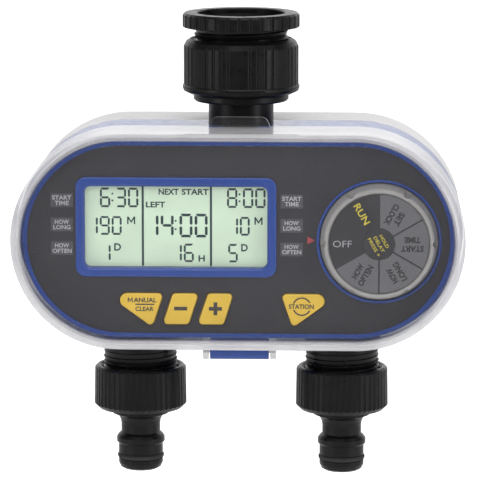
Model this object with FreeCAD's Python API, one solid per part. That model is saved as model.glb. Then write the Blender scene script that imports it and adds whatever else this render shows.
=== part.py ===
import FreeCAD, Part

# Two-outlet tap timer for drip irrigation, one STEP file per piece, in millimetres.
# +X is to the right when facing the display, -Y points at the person reading it, +Z is up.
# The origin is on the inlet's axis where the tap's thread begins, 3.2 mm below the inlet's rim.

import math
import os
from FreeCAD import Vector

os.makedirs("parts", exist_ok=True)

# Body: every outline is a stadium, two half circles joined by straight sides
BODY_Z = -72.3  # height of the stadium's centre
CASE_LENGTH = 154.4
CASE_HEIGHT = 73.8
CASE_WALL = 2.6
HOUSING_FRONT_Y = -10.2
HOUSING_EDGE = 1.0
PARTING_Y = 8.0
CASE_BACK_Y = 37.0
BACK_FILLET = 7.0
SKIN = 2.2  # moulded wall of faces and flanges
GASKET_INSET = 1.6
GASKET_WIDTH = 1.2
GASKET_DEPTH = 1.2
GASKET_PIPE_GAP = 1.0

# Bezel: the narrower front part of the housing, which frames the control panel
BEZEL_LENGTH = 148.3
BEZEL_HEIGHT = 68.4
BEZEL_WALL = 1.7
BEZEL_FRONT_Y = -28.0
BEZEL_EDGE = 0.8
LEDGE_WIDTH = 2.0
LEDGE_THICKNESS = 1.6

# Control panel
PANEL_FRONT_Y = -27.4
PANEL_THICKNESS = 2.4
PANEL_BACK_Y = PANEL_FRONT_Y + PANEL_THICKNESS
PANEL_LENGTH = BEZEL_LENGTH - 2 * BEZEL_WALL
PANEL_HEIGHT = BEZEL_HEIGHT - 2 * BEZEL_WALL

# Display
DISPLAY_X = -21.3
DISPLAY_Z = BODY_Z + 4.3
FRAME_LENGTH = 68.8
FRAME_HEIGHT = 34.5
FRAME_CORNER = 3.5
FRAME_PROUD = 0.9
FRAME_EDGE = 0.5
FRAME_BEVEL = 0.8
WINDOW_LENGTH = 62.6
WINDOW_HEIGHT = 28.0
WINDOW_CORNER = 2.1
WINDOW_THICKNESS = 1.2
CRYSTAL_LENGTH = 65.0
CRYSTAL_HEIGHT = 31.0
CRYSTAL_CORNER = 0.4
CRYSTAL_THICKNESS = 2.4
HOLDER_LENGTH = 69.0
HOLDER_HEIGHT = 35.0
HOLDER_CORNER = 1.0
HOLDER_DEPTH = 4.4
REST_GAP = 0.1  # between pieces that only rest on one another

# Dial
DIAL_X = 48.2
DIAL_Z = BODY_Z - 0.3
DIAL_WELL_DEPTH = 1.2
RING_RADIUS = 21.4
RING_WIDTH = 0.95
RING_PROUD = 0.5
KNOB_BASE_RADIUS = 20.1
KNOB_FACE_RADIUS = 18.9
KNOB_FRONT_Y = -33.2
KNOB_BACK_Y = -26.5
KNOB_DISH = 0.9
LABEL_RADIUS = 17.2
LABEL_THICKNESS = 0.5
HUB_CAP_RADIUS = 5.5
HUB_CAP_HEIGHT = 0.3
DIAL_POSITIONS = 6
NOTCH_RADIUS = 1.4
NOTCH_INSET = 0.5
NOTCH_FLOOR = 1.2
KNOB_LIP = 0.6
KNOB_BEVEL = 0.5
RING_EDGE = 0.25
HUB_CAP_EDGE = 0.15
SHAFT_RADIUS = 3.0
SHAFT_HOLE_GAP = 0.3
RUNNING_CLEARANCE = 0.05

# Buttons: corners as (x, z from the body's centre), with one corner radius each
BUTTON_TOP = -18.6
BUTTON_BOTTOM = -29.4
BUTTON_TIP = BUTTON_BOTTOM - 1.0  # unrounded tip of a triangular button
BUTTON_PROUD = 1.1
BUTTON_EDGE = 0.5
BUTTON_TRAVEL = 0.8
BUTTON_GAP = 0.3
BUTTON_FLANGE = 0.9
BUTTON_FLANGE_THICKNESS = 0.8
BUTTON_STEM_RADIUS = 1.8
BUTTONS = {
    "button_manual": [
        (-45.8, BUTTON_TOP, 2.5),
        (-25.6, BUTTON_TOP, 1.4),
        (-29.5, BUTTON_TIP, 1.4),
    ],
    "button_minus": [
        (-25.9, BUTTON_BOTTOM, 1.3),
        (-22.4, BUTTON_TOP, 1.3),
        (-13.5, BUTTON_TOP, 1.3),
        (-17.0, BUTTON_BOTTOM, 1.3),
    ],
    "button_plus": [
        (-13.9, BUTTON_BOTTOM, 1.3),
        (-10.3, BUTTON_TOP, 1.3),
        (-1.6, BUTTON_TOP, 1.3),
        (-5.0, BUTTON_BOTTOM, 1.3),
    ],
    "button_station": [
        (14.7, BUTTON_TOP, 1.4),
        (34.8, BUTTON_TOP, 2.5),
        (18.7, BUTTON_TIP, 1.4),
    ],
}

# Circuit board, with the dial's switch and the buttons' switches in front of it
BOARD_LENGTH = 118.0
BOARD_HEIGHT = 54.0
BOARD_CORNER = 3.0
BOARD_FRONT_Y = PANEL_BACK_Y + 6.0
BOARD_THICKNESS = 1.6
BOARD_BACK_Y = BOARD_FRONT_Y + BOARD_THICKNESS
BOARD_HOLE_RADIUS = 1.6
BOARD_FIXINGS = [(sx * 54.0, BODY_Z + sz * 24.4) for sx in (-1, 1) for sz in (-1, 1)]
PEG_RADIUS = 2.2
BOARD_SCREW_RADIUS = 1.2
BOARD_SCREW_HEAD_RADIUS = 2.6
BOARD_SCREW_HEAD_DEPTH = 1.6
BOARD_SCREW_START_Y = PANEL_BACK_Y + 1.0
ROTARY_SIDE = 17.0
ROTARY_CORNER = 2.0
ROTARY_FRONT_Y = BOARD_FRONT_Y - 4.0
SHAFT_BACK_Y = ROTARY_FRONT_Y + 3.4
TACT_HALF = 3.0
TACT_BODY = 2.4
TACT_HEIGHT = 3.0
TACT_PIN_RADIUS = 1.6

# Clear front cover and its hinge
COVER_LENGTH = 155.3
COVER_HEIGHT = 74.6
COVER_WALL = 1.6
COVER_FRONT_Y = -38.0
COVER_BACK_Y = -11.8
COVER_FILLET = 5.0
HINGE_Y = -14.0
HINGE_Z = -113.3
HINGE_PIN_RADIUS = 1.0
KNUCKLE_RADIUS = 3.2
KNUCKLE_HALF = 10.2
EAR_GAP = 0.5
EAR_WIDTH = 2.0
NOTCH_DEPTH = 6.0
TAB_BASE = 21.8
TAB_TOP = 18.4
TAB_HEIGHT = 3.4
TAB_CORNER = 2.6
TAB_FOOT_CORNER = 0.2
TAB_THICKNESS = 2.0
TAB_FRONT_Y = -15.0

# Water ways: inlet neck on the Z axis, two threaded spigots below the body
NECK_RADIUS = 11.3
NECK_BORE = 8.0
NECK_TOP_Z = -16.8
NECK_GROOVE_DEPTH = 0.8
NECK_GROOVE_TOP_Z = NECK_TOP_Z - 0.4
NECK_GROOVE_LOW_Z = NECK_TOP_Z - 2.9
RETAINER_RADIUS = 16.2
GALLERY_Z = -58.8
GALLERY_RADIUS = 9.5
GALLERY_WALL = 2.0
OUTLET_X = 35.5
CHAMBER_RADIUS = 12.0
CHAMBER_BORE = 8.5
CHAMBER_TOP_Z = GALLERY_Z + GALLERY_RADIUS + 1.0
SPIGOT_NECK = 10.8
SPIGOT_COLLAR = 13.2
SPIGOT_COLLAR_DROP = 1.0
SPIGOT_COLLAR_HEIGHT = 1.6
SPIGOT_END_Z = -127.8
SPIGOT_TOP_Z = BODY_Z - CASE_HEIGHT / 2 + 2 * CASE_WALL
PIPE_CLEARANCE = 0.1
VALVE_Z = -80.8
VALVE_SEAT_Y = 12.0
VALVE_RADIUS = 11.4
VALVE_BORE = 7.4
DIAPHRAGM_THICKNESS = 1.6
BONNET_THICKNESS = 4.0
BONNET_FRONT_Y = VALVE_SEAT_Y + DIAPHRAGM_THICKNESS
COIL_FRONT_Y = BONNET_FRONT_Y + BONNET_THICKNESS
COIL_BACK_Y = COIL_FRONT_Y + 15.0
COIL_RADIUS = 9.0
COIL_EDGE = 0.8
COIL_END = 2.0  # closed end behind the plunger's bore
PLUNGER_RADIUS = 3.0
PLUNGER_LENGTH = 12.0
PLUNGER_REST_GAP = 0.2
PLUNGER_BORE = PLUNGER_RADIUS + 0.3
SPRING_WIRE_RADIUS = 0.25
SPRING_RADIUS = 2.0
SPRING_PITCH = 1.0
SPRING_HEIGHT = 2.2
SPRING_START = 2.6  # in front of the coil's closed end

# G 1 thread (inlet nut) and G 3/4 thread (spigots, and the tap side of the adaptor)
G1_MAJOR = 33.25 / 2
G1_PITCH = 2.309
G34_MAJOR = 26.44 / 2
G34_PITCH = 1.814
THREAD_DEPTH_PER_PITCH = 0.64
THREAD_HALF_BASE_PER_PITCH = 0.40
THREAD_HALF_CREST_PER_PITCH = 0.09
THREAD_SUNK = 0.45  # how far the ridge's foot lies inside its root cylinder
FEMALE_CLEARANCE = 0.3
LEAD_IN = 0.6

# Inlet adaptor and swivel nut
RIM_TOP_Z = 3.2
RIM_HEIGHT = 5.0
ADAPTOR_RADIUS = 20.3
ADAPTOR_GROOVES = 32
ADAPTOR_GROOVE_RADIUS = 0.85
ADAPTOR_GROOVE_OFFSET = 0.35
RIM_BEVEL = 0.8
RIM_LOW_BEVEL = 0.3
MOUTH_BEVEL = 0.4
MOUTH_RADIUS = 15.3
MOUTH_SLOPE = 1.2
TAP_BORE_RADIUS = 13.3
TAP_BORE_LENGTH = 8.3
WASHER_SEAT_RADIUS = 12.7
ADAPTOR_END_Z = -14.2
ADAPTOR_WATERWAY = 8.5
NUT_TOP_Z = -5.8
NUT_RIB_END_Z = -22.2
NUT_BOTTOM_Z = -24.8
NUT_RADIUS = 20.3
NUT_GROUPS = 8
NUT_GROOVES_PER_GROUP = 4
NUT_GROOVE_STEP = 8.0
NUT_GROOVE_RADIUS = 0.8
NUT_GROOVE_OFFSET = 0.1
NUT_COLLAR_PROUD = 0.35
NUT_COLLAR_BAND = 0.6
NUT_FOOT_INSET = 2.4
NUT_FOOT_BEVEL = 1.0
NUT_SHOULDER_INSET = 2.5
NUT_LIP_TOP_Z = -20.0
SHOULDER_TOP_Z = -25.1
SHOULDER_BOTTOM_Z = -27.4
SHOULDER_RADIUS = 16.5
SHOULDER_BEVEL = 0.6
WASHER_THICKNESS = 2.5
WASHER_EDGE_GAP = 0.3
INLET_WASHER_RADIUS = 16.0
INLET_WASHER_HOLE = 10.6
OUTLET_WASHER_HOLE = 8.0
FILTER_RIM_RADIUS = 10.5
FILTER_RIM_HEIGHT = 0.8
FILTER_DEPTH = 11.0
FILTER_TIP_RADIUS = 5.6
FILTER_WALL = 0.8
FILTER_GAP = 0.4

# Outlet adaptors: screwed nut and click nipple in one moulding
OUTLET_NUT_TOP_Z = -121.2
OUTLET_NUT_BOTTOM_Z = -136.4
OUTLET_NUT_RADIUS = 16.2
OUTLET_NUT_RIBS = 48
OUTLET_GROOVE_RADIUS = 0.55
OUTLET_GROOVE_OFFSET = 0.15
OUTLET_NUT_FOOT = 1.6
OUTLET_NUT_BEVEL = 0.8
OUTLET_NUT_TAPER = 0.2
NIPPLE_COLLAR_RADIUS = 9.9
NIPPLE_NECK_RADIUS = 6.85
NIPPLE_BARREL_RADIUS = 7.8
NIPPLE_FLANGE_RADIUS = 8.45
NIPPLE_COLLAR_Z = -138.4
NIPPLE_FLANGE_Z = -147.9
NIPPLE_TIP_Z = -158.5
NIPPLE_LEAD = 2.2  # length of the barrel's tapered tip
NIPPLE_TIP_BEVEL = 0.7
NIPPLE_TIP_INSET = 1.9
NIPPLE_FLANGE_HALF = 0.8
NIPPLE_FLANGE_BEVEL = 0.7
NIPPLE_FLARE = 4.0  # height of the curve from the neck out to the collar
FLARE_STEPS = 4
NIPPLE_BORE = 5.0
SEAL_GROOVE_DEPTH = 1.4
SEAL_GROOVE_HALF = 1.0
SEAL_SECTION = 0.9
NIPPLE_SEAL_Z = -153.8

# Battery drawer, at the back between the two valves
DRAWER_WIDTH = 37.0
DRAWER_HEIGHT = 56.0
DRAWER_Z = BODY_Z
DRAWER_DEPTH = 20.0
DRAWER_WALL = 1.4
DRAWER_CLEARANCE = 0.3
DOOR_WIDTH = 43.0
DOOR_HEIGHT = 59.0
DOOR_THICKNESS = 2.0
DOOR_CORNER = 4.0
DOOR_EDGE = 0.6
DRAWER_CORNER = 1.2
RIDGE_LENGTH = 24.0
RIDGE_HEIGHT = 2.4
RIDGE_CORNER = 1.1
RIDGE_PROUD = 1.2
RIDGE_BELOW_EDGE = 8.0
DRAWER_SEAL_WIDTH = 0.7
DRAWER_SEAL_HEIGHT = 1.4
DRAWER_SEAL_SET_BACK = 2.4
CELL_RADIUS = 7.25
CELL_LENGTH = 49.5
CELL_SPACING = 8.2
CELL_Y = CASE_BACK_Y - DRAWER_DEPTH + 8.6
CELL_EDGE = 0.5
CELL_BUTTON_RADIUS = 2.7
CELL_BUTTON_HEIGHT = 1.0
CONTACT_HALF = 6.0
CONTACT_THICKNESS = 0.5

# Case screws
SCREW_PLACES = [
    (side * x, BODY_Z + z) for side in (-1, 1) for x, z in ((58.0, 25.0), (58.0, -25.0), (30.0, 30.0))
]
SCREW_RADIUS = 1.5
SCREW_HEAD_RADIUS = 2.8
SCREW_HEAD_DEPTH = 2.4
SCREW_HEAD_EDGE = 0.6
SCREW_CLEARANCE = 0.2
SCREW_TIP_Y = -1.0
BOSS_RADIUS = 4.0
SCREW_SEAT_Y = 30.0

ALONG_X = Vector(1, 0, 0)
ALONG_Y = Vector(0, 1, 0)
ALONG_Z = Vector(0, 0, 1)
OVERLAP = 0.5  # how far fused shapes run into each other, and cutters past a face
FLATNESS = 1e-4  # an edge counts as lying in a plane within this distance
LEAST_RIDGE = 1.02  # a thread has at least this times its core's volume


def prism(edges, y_front, y_back):
    """Solid between two Y planes over an outline drawn in the plane y = y_front."""
    return Part.Face(Part.Wire(edges)).extrude(Vector(0, y_back - y_front, 0))


def stadium(length, height, y_front, y_back):
    radius = height / 2
    half = length / 2 - radius
    left_top = Vector(-half, y_front, BODY_Z + radius)
    right_top = Vector(half, y_front, BODY_Z + radius)
    right_bottom = Vector(half, y_front, BODY_Z - radius)
    left_bottom = Vector(-half, y_front, BODY_Z - radius)
    edges = [
        Part.LineSegment(left_top, right_top).toShape(),
        Part.Arc(right_top, Vector(length / 2, y_front, BODY_Z), right_bottom).toShape(),
        Part.LineSegment(right_bottom, left_bottom).toShape(),
        Part.Arc(left_bottom, Vector(-length / 2, y_front, BODY_Z), left_top).toShape(),
    ]
    return prism(edges, y_front, y_back)


def rounded_polygon(corners, y_front, y_back, grow=0.0):
    """Prism along Y over (x, z, radius) corners, its outline moved outwards by grow."""
    spots = [Vector(x, y_front, z) for x, z, _ in corners]
    count = len(spots)
    arcs = []
    for i in range(count):
        before = (spots[i - 1] - spots[i]).normalize()
        after = (spots[(i + 1) % count] - spots[i]).normalize()
        half_angle = before.getAngle(after) / 2
        inwards = (before + after).normalize()
        radius = corners[i][2] + grow
        corner = spots[i] - inwards * (grow / math.sin(half_angle))
        setback = radius / math.tan(half_angle)
        centre = corner + inwards * (radius / math.sin(half_angle))
        arcs.append((corner + before * setback, centre - inwards * radius, corner + after * setback))
    edges = []
    for i in range(count):
        edges.append(Part.Arc(*arcs[i]).toShape())
        edges.append(Part.LineSegment(arcs[i][2], arcs[(i + 1) % count][0]).toShape())
    return prism(edges, y_front, y_back)


def rounded_block(length, height, corner, centre_x, centre_z, y_front, y_back):
    corners = [
        (centre_x + sx * length / 2, centre_z + sz * height / 2, corner)
        for sx, sz in ((-1, -1), (-1, 1), (1, 1), (1, -1))
    ]
    return rounded_polygon(corners, y_front, y_back)


def block(x_low, x_high, y_low, y_high, z_low, z_high):
    return Part.makeBox(x_high - x_low, y_high - y_low, z_high - z_low, Vector(x_low, y_low, z_low))


def rod_y(radius, x, z, y_front, y_back):
    return Part.makeCylinder(radius, y_back - y_front, Vector(x, y_front, z), ALONG_Y)


def rod_x(radius, x_low, x_high, y, z):
    return Part.makeCylinder(radius, x_high - x_low, Vector(x_low, y, z), ALONG_X)


def rod_z(radius, x, y, z_low, z_high):
    return Part.makeCylinder(radius, z_high - z_low, Vector(x, y, z_low), ALONG_Z)


def tube_y(outer, inner, x, z, y_front, y_back):
    hole = rod_y(inner, x, z, y_front - OVERLAP, y_back + OVERLAP)
    return rod_y(outer, x, z, y_front, y_back).cut(hole)


def tube_z(outer, inner, x, y, z_low, z_high):
    hole = rod_z(inner, x, y, z_low - OVERLAP, z_high + OVERLAP)
    return rod_z(outer, x, y, z_low, z_high).cut(hole)


def turned(profile, x=0.0):
    """Revolves (radius, z) points about the vertical axis through (x, 0)."""
    points = [Vector(x + radius, 0, z) for radius, z in profile]
    face = Part.Face(Part.makePolygon(points + points[:1]))
    return face.revolve(Vector(x, 0, 0), ALONG_Z, 360)


def turned_y(profile, x, z):
    """Revolves (radius, y) points about the Y direction through (x, z)."""
    points = [Vector(x + radius, y, z) for radius, y in profile]
    face = Part.Face(Part.makePolygon(points + points[:1]))
    return face.revolve(Vector(x, 0, z), ALONG_Y, 360)


def fused(first, *others):
    """One solid, with the seams between the fused shapes removed."""
    return first.multiFuse(list(others)).removeSplitter()


def edges_in_plane_y(shape, y):
    found = []
    for edge in shape.Edges:
        box = edge.BoundBox
        if abs(box.YMin - y) < FLATNESS and abs(box.YMax - y) < FLATNESS:
            found.append(edge)
    return found


def rounded_at(shape, y, radius):
    """Fillets every edge of the shape that lies in the plane at y."""
    return shape.makeFillet(radius, edges_in_plane_y(shape, y))


def screw(x, z, radius, tip_y, head_radius, seat_y, head_depth, head_edge):
    """Screw along Y with a cross recess; its head stands behind seat_y."""
    top = seat_y + head_depth
    head = rod_y(head_radius, x, z, seat_y, top)
    if head_edge:
        head = rounded_at(head, top, head_edge)
    shank = rod_y(radius, x, z, tip_y, seat_y + OVERLAP)
    reach = 0.61 * head_radius
    half = 0.14 * head_radius
    across = block(x - reach, x + reach, top - head_depth / 2, top + OVERLAP, z - half, z + half)
    upright = block(x - half, x + half, top - head_depth / 2, top + OVERLAP, z - reach, z + reach)
    return head.fuse(shank).cut([across, upright])


def spread(shape, angles, x=0.0):
    """Copies of a shape turned about the vertical axis through (x, 0)."""
    copies = []
    for angle in angles:
        copy = shape.copy()
        copy.rotate(Vector(x, 0, 0), ALONG_Z, angle)
        copies.append(copy)
    return copies


def male_thread(x, z_low, z_high, major_radius, pitch):
    """Threaded sleeve: a helical ridge on its root cylinder, with tapered ends."""
    depth = THREAD_DEPTH_PER_PITCH * pitch
    root = major_radius - depth
    half_base = THREAD_HALF_BASE_PER_PITCH * pitch
    half_crest = THREAD_HALF_CREST_PER_PITCH * pitch
    helix = Part.makeHelix(pitch, z_high - z_low + pitch, root)
    helix.translate(Vector(x, 0, z_low - pitch / 2))
    start = z_low - pitch / 2
    outline = [
        Vector(x + root - THREAD_SUNK, 0, start - half_base),
        Vector(x + major_radius, 0, start - half_crest),
        Vector(x + major_radius, 0, start + half_crest),
        Vector(x + root - THREAD_SUNK, 0, start + half_base),
    ]
    section = Part.makePolygon(outline + outline[:1])
    ridge = Part.Wire(helix.Edges).makePipeShell([section], True, False)
    envelope = turned(
        [
            (0, z_low),
            (root, z_low),
            (major_radius + OVERLAP, z_low + depth + OVERLAP),
            (major_radius + OVERLAP, z_high),
            (0, z_high),
        ],
        x,
    )
    core = rod_z(root, x, 0, z_low, z_high)
    thread = core.fuse(ridge.common(envelope))
    if thread.Volume < LEAST_RIDGE * core.Volume:
        raise RuntimeError("the thread lost its ridge")
    return thread


def through_case(pipe_clearance):
    """Cutters for the neck's and both spigots' holes through the case walls."""
    bottom = BODY_Z - CASE_HEIGHT / 2
    neck = rod_z(NECK_RADIUS + pipe_clearance, 0, 0, BODY_Z, 0)
    cutters = [neck]
    for side in (-1, 1):
        cutters.append(rod_z(SPIGOT_NECK + pipe_clearance, side * OUTLET_X, 0, bottom - OVERLAP, BODY_Z))
    return cutters


def make_front_housing():
    """Blue housing: flange, bezel, panel ledge, screw pillars and hinge knuckle."""
    shell = stadium(CASE_LENGTH, CASE_HEIGHT, HOUSING_FRONT_Y, PARTING_Y)
    hollow = stadium(
        CASE_LENGTH - 2 * CASE_WALL,
        CASE_HEIGHT - 2 * CASE_WALL,
        HOUSING_FRONT_Y + SKIN,
        PARTING_Y + OVERLAP,
    )
    shell = rounded_at(shell, HOUSING_FRONT_Y, HOUSING_EDGE).cut(hollow)
    bezel = stadium(BEZEL_LENGTH, BEZEL_HEIGHT, BEZEL_FRONT_Y, HOUSING_FRONT_Y + SKIN)
    bezel = rounded_at(bezel, BEZEL_FRONT_Y, BEZEL_EDGE)
    bezel_opening = stadium(
        PANEL_LENGTH, PANEL_HEIGHT, BEZEL_FRONT_Y - OVERLAP, HOUSING_FRONT_Y + SKIN + OVERLAP
    )
    ledge_back = PANEL_BACK_Y + LEDGE_THICKNESS
    ledge = stadium(PANEL_LENGTH + OVERLAP, PANEL_HEIGHT + OVERLAP, PANEL_BACK_Y, ledge_back)
    ledge = ledge.cut(
        stadium(
            PANEL_LENGTH - 2 * LEDGE_WIDTH,
            PANEL_HEIGHT - 2 * LEDGE_WIDTH,
            PANEL_BACK_Y - OVERLAP,
            ledge_back + OVERLAP,
        )
    )
    knuckle = rod_x(KNUCKLE_RADIUS, -KNUCKLE_HALF, KNUCKLE_HALF, HINGE_Y, HINGE_Z)
    web = block(
        -KNUCKLE_HALF,
        KNUCKLE_HALF,
        HINGE_Y - KNUCKLE_RADIUS,
        HINGE_Y + KNUCKLE_RADIUS,
        HINGE_Z,
        BODY_Z - BEZEL_HEIGHT / 2 + OVERLAP,
    )
    pillars = []
    for x, z in SCREW_PLACES:
        pillars.append(rod_y(BOSS_RADIUS, x, z, HOUSING_FRONT_Y + SKIN - OVERLAP, PARTING_Y))
    housing = fused(shell, bezel).cut(bezel_opening)
    housing = fused(housing, ledge, knuckle, web, *pillars)
    pin_hole = rod_x(HINGE_PIN_RADIUS, -KNUCKLE_HALF - OVERLAP, KNUCKLE_HALF + OVERLAP, HINGE_Y, HINGE_Z)
    cutters = [pin_hole] + through_case(PIPE_CLEARANCE)
    for x, z in SCREW_PLACES:
        cutters.append(rod_y(SCREW_RADIUS, x, z, SCREW_TIP_Y, PARTING_Y + OVERLAP))
    return housing.cut(cutters)


def make_rear_shell():
    """Pale rear shell with the drawer's opening, a drawer frame and sunk screw holes."""
    shell = stadium(CASE_LENGTH, CASE_HEIGHT, PARTING_Y, CASE_BACK_Y)
    shell = rounded_at(shell, CASE_BACK_Y, BACK_FILLET)
    hollow = stadium(
        CASE_LENGTH - 2 * CASE_WALL, CASE_HEIGHT - 2 * CASE_WALL, PARTING_Y - OVERLAP, CASE_BACK_Y - SKIN
    )
    hollow = rounded_at(hollow, CASE_BACK_Y - SKIN, BACK_FILLET - SKIN)
    shell = shell.cut(hollow)
    bosses = [rod_y(BOSS_RADIUS, x, z, PARTING_Y, CASE_BACK_Y - SKIN + OVERLAP) for x, z in SCREW_PLACES]
    shell = fused(shell, *bosses)
    cutters = through_case(PIPE_CLEARANCE)
    for x, z in SCREW_PLACES:
        hole_radius = SCREW_RADIUS + SCREW_CLEARANCE
        head_hole_radius = SCREW_HEAD_RADIUS + SCREW_CLEARANCE
        cutters.append(rod_y(hole_radius, x, z, PARTING_Y - OVERLAP, CASE_BACK_Y + OVERLAP))
        cutters.append(rod_y(head_hole_radius, x, z, SCREW_SEAT_Y, CASE_BACK_Y + OVERLAP))
    cutters.append(
        rounded_block(
            DRAWER_WIDTH + 2 * DRAWER_CLEARANCE,
            DRAWER_HEIGHT + 2 * DRAWER_CLEARANCE,
            DRAWER_CORNER + DRAWER_CLEARANCE,
            0,
            DRAWER_Z,
            PARTING_Y,
            CASE_BACK_Y + OVERLAP,
        )
    )
    cutters.append(
        rounded_block(
            DOOR_WIDTH + 2 * DRAWER_CLEARANCE,
            DOOR_HEIGHT + 2 * DRAWER_CLEARANCE,
            DOOR_CORNER,
            0,
            DRAWER_Z,
            CASE_BACK_Y - DOOR_THICKNESS / 2,
            CASE_BACK_Y + OVERLAP,
        )
    )
    return shell.cut(cutters).cut(make_housing_gasket())


def make_housing_gasket():
    """Rubber ring in the rear shell's front edge, interrupted where the pipes pass."""
    back = PARTING_Y + GASKET_DEPTH
    outer = stadium(CASE_LENGTH - GASKET_INSET, CASE_HEIGHT - GASKET_INSET, PARTING_Y, back)
    length = CASE_LENGTH - GASKET_INSET - 2 * GASKET_WIDTH
    height = CASE_HEIGHT - GASKET_INSET - 2 * GASKET_WIDTH
    inner = stadium(length, height, PARTING_Y - OVERLAP, back + OVERLAP)
    return outer.cut(inner).cut(through_case(GASKET_PIPE_GAP))


def make_control_panel():
    """Dark face plate with openings for the display, the dial's shaft and the buttons."""
    panel = stadium(PANEL_LENGTH, PANEL_HEIGHT, PANEL_FRONT_Y, PANEL_BACK_Y)
    front = PANEL_FRONT_Y - OVERLAP
    back = PANEL_BACK_Y + OVERLAP
    cutters = [
        rounded_block(FRAME_LENGTH, FRAME_HEIGHT, FRAME_CORNER, DISPLAY_X, DISPLAY_Z, front, back),
        rod_y(RING_RADIUS, DIAL_X, DIAL_Z, front, PANEL_FRONT_Y + DIAL_WELL_DEPTH),
        rod_y(SHAFT_RADIUS + SHAFT_HOLE_GAP, DIAL_X, DIAL_Z, front, back),
    ]
    for corners in BUTTONS.values():
        placed = [(x, BODY_Z + z, radius) for x, z, radius in corners]
        cutters.append(rounded_polygon(placed, front, back, BUTTON_GAP))
    return panel.cut(cutters)


def make_display_frame():
    """Raised surround whose inner walls slope down to the window."""
    front = PANEL_FRONT_Y - FRAME_PROUD
    back = PANEL_BACK_Y
    frame = rounded_block(FRAME_LENGTH, FRAME_HEIGHT, FRAME_CORNER, DISPLAY_X, DISPLAY_Z, front, back)
    frame = rounded_at(frame, front, FRAME_EDGE)
    opening = rounded_block(
        WINDOW_LENGTH,
        WINDOW_HEIGHT,
        WINDOW_CORNER,
        DISPLAY_X,
        DISPLAY_Z,
        front - OVERLAP,
        back + OVERLAP,
    )
    frame = frame.cut(opening)
    inner_edges = []
    for edge in edges_in_plane_y(frame, front):
        box = edge.BoundBox
        reach_x = max(abs(box.XMin - DISPLAY_X), abs(box.XMax - DISPLAY_X))
        reach_z = max(abs(box.ZMin - DISPLAY_Z), abs(box.ZMax - DISPLAY_Z))
        if reach_x < WINDOW_LENGTH / 2 + REST_GAP and reach_z < WINDOW_HEIGHT / 2 + REST_GAP:
            inner_edges.append(edge)
    return frame.makeChamfer(FRAME_BEVEL, inner_edges)


def make_display_window():
    back = PANEL_BACK_Y
    return rounded_block(
        WINDOW_LENGTH, WINDOW_HEIGHT, WINDOW_CORNER, DISPLAY_X, DISPLAY_Z, back - WINDOW_THICKNESS, back
    )


def make_display_glass():
    """Liquid crystal cell, clamped behind the window."""
    front = PANEL_BACK_Y + REST_GAP
    back = front + CRYSTAL_THICKNESS
    return rounded_block(CRYSTAL_LENGTH, CRYSTAL_HEIGHT, CRYSTAL_CORNER, DISPLAY_X, DISPLAY_Z, front, back)


def make_display_holder():
    """Moulded tray that holds the display and its backlight against the panel."""
    front = PANEL_BACK_Y + REST_GAP
    back = front + HOLDER_DEPTH
    holder = rounded_block(HOLDER_LENGTH, HOLDER_HEIGHT, HOLDER_CORNER, DISPLAY_X, DISPLAY_Z, front, back)
    pocket = rounded_block(
        CRYSTAL_LENGTH + 2 * REST_GAP,
        CRYSTAL_HEIGHT + 2 * REST_GAP,
        CRYSTAL_CORNER,
        DISPLAY_X,
        DISPLAY_Z,
        front - OVERLAP,
        front + CRYSTAL_THICKNESS,
    )
    return holder.cut(pocket)


def make_circuit_board():
    """Board with a hole behind the dial's shaft and four for its screws."""
    board = rounded_block(BOARD_LENGTH, BOARD_HEIGHT, BOARD_CORNER, 0, BODY_Z, BOARD_FRONT_Y, BOARD_BACK_Y)
    front = BOARD_FRONT_Y - OVERLAP
    back = BOARD_BACK_Y + OVERLAP
    holes = [rod_y(SHAFT_RADIUS + OVERLAP, DIAL_X, DIAL_Z, front, back)]
    for x, z in BOARD_FIXINGS:
        holes.append(rod_y(BOARD_HOLE_RADIUS, x, z, front, back))
    return board.cut(holes)


def make_board_screws():
    """Four screws that hold the circuit board to pegs behind the panel."""
    screws = []
    for x, z in BOARD_FIXINGS:
        screws.append(
            screw(
                x,
                z,
                BOARD_SCREW_RADIUS,
                BOARD_SCREW_START_Y,
                BOARD_SCREW_HEAD_RADIUS,
                BOARD_BACK_Y,
                BOARD_SCREW_HEAD_DEPTH,
                0,
            )
        )
    return Part.makeCompound(screws)


def make_board_pegs():
    """Four hollow pegs between the panel and the circuit board."""
    pegs = []
    for x, z in BOARD_FIXINGS:
        pegs.append(tube_y(PEG_RADIUS, BOARD_SCREW_RADIUS, x, z, PANEL_BACK_Y, BOARD_FRONT_Y))
    return Part.makeCompound(pegs)


def button_centre(corners):
    """Point (x, z) behind a button where its stem and switch stand."""
    x = sum(corner[0] for corner in corners) / len(corners)
    return x, BODY_Z + (BUTTON_TOP + BUTTON_BOTTOM) / 2


def make_tact_switches():
    """One small push switch on the circuit board behind each button."""
    switches = []
    for corners in BUTTONS.values():
        x, z = button_centre(corners)
        body_front = BOARD_FRONT_Y - TACT_BODY
        body = block(x - TACT_HALF, x + TACT_HALF, body_front, BOARD_FRONT_Y, z - TACT_HALF, z + TACT_HALF)
        pin = rod_y(TACT_PIN_RADIUS, x, z, BOARD_FRONT_Y - TACT_HEIGHT, body_front + OVERLAP)
        switches.append(body.fuse(pin))
    return Part.makeCompound(switches)


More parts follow.
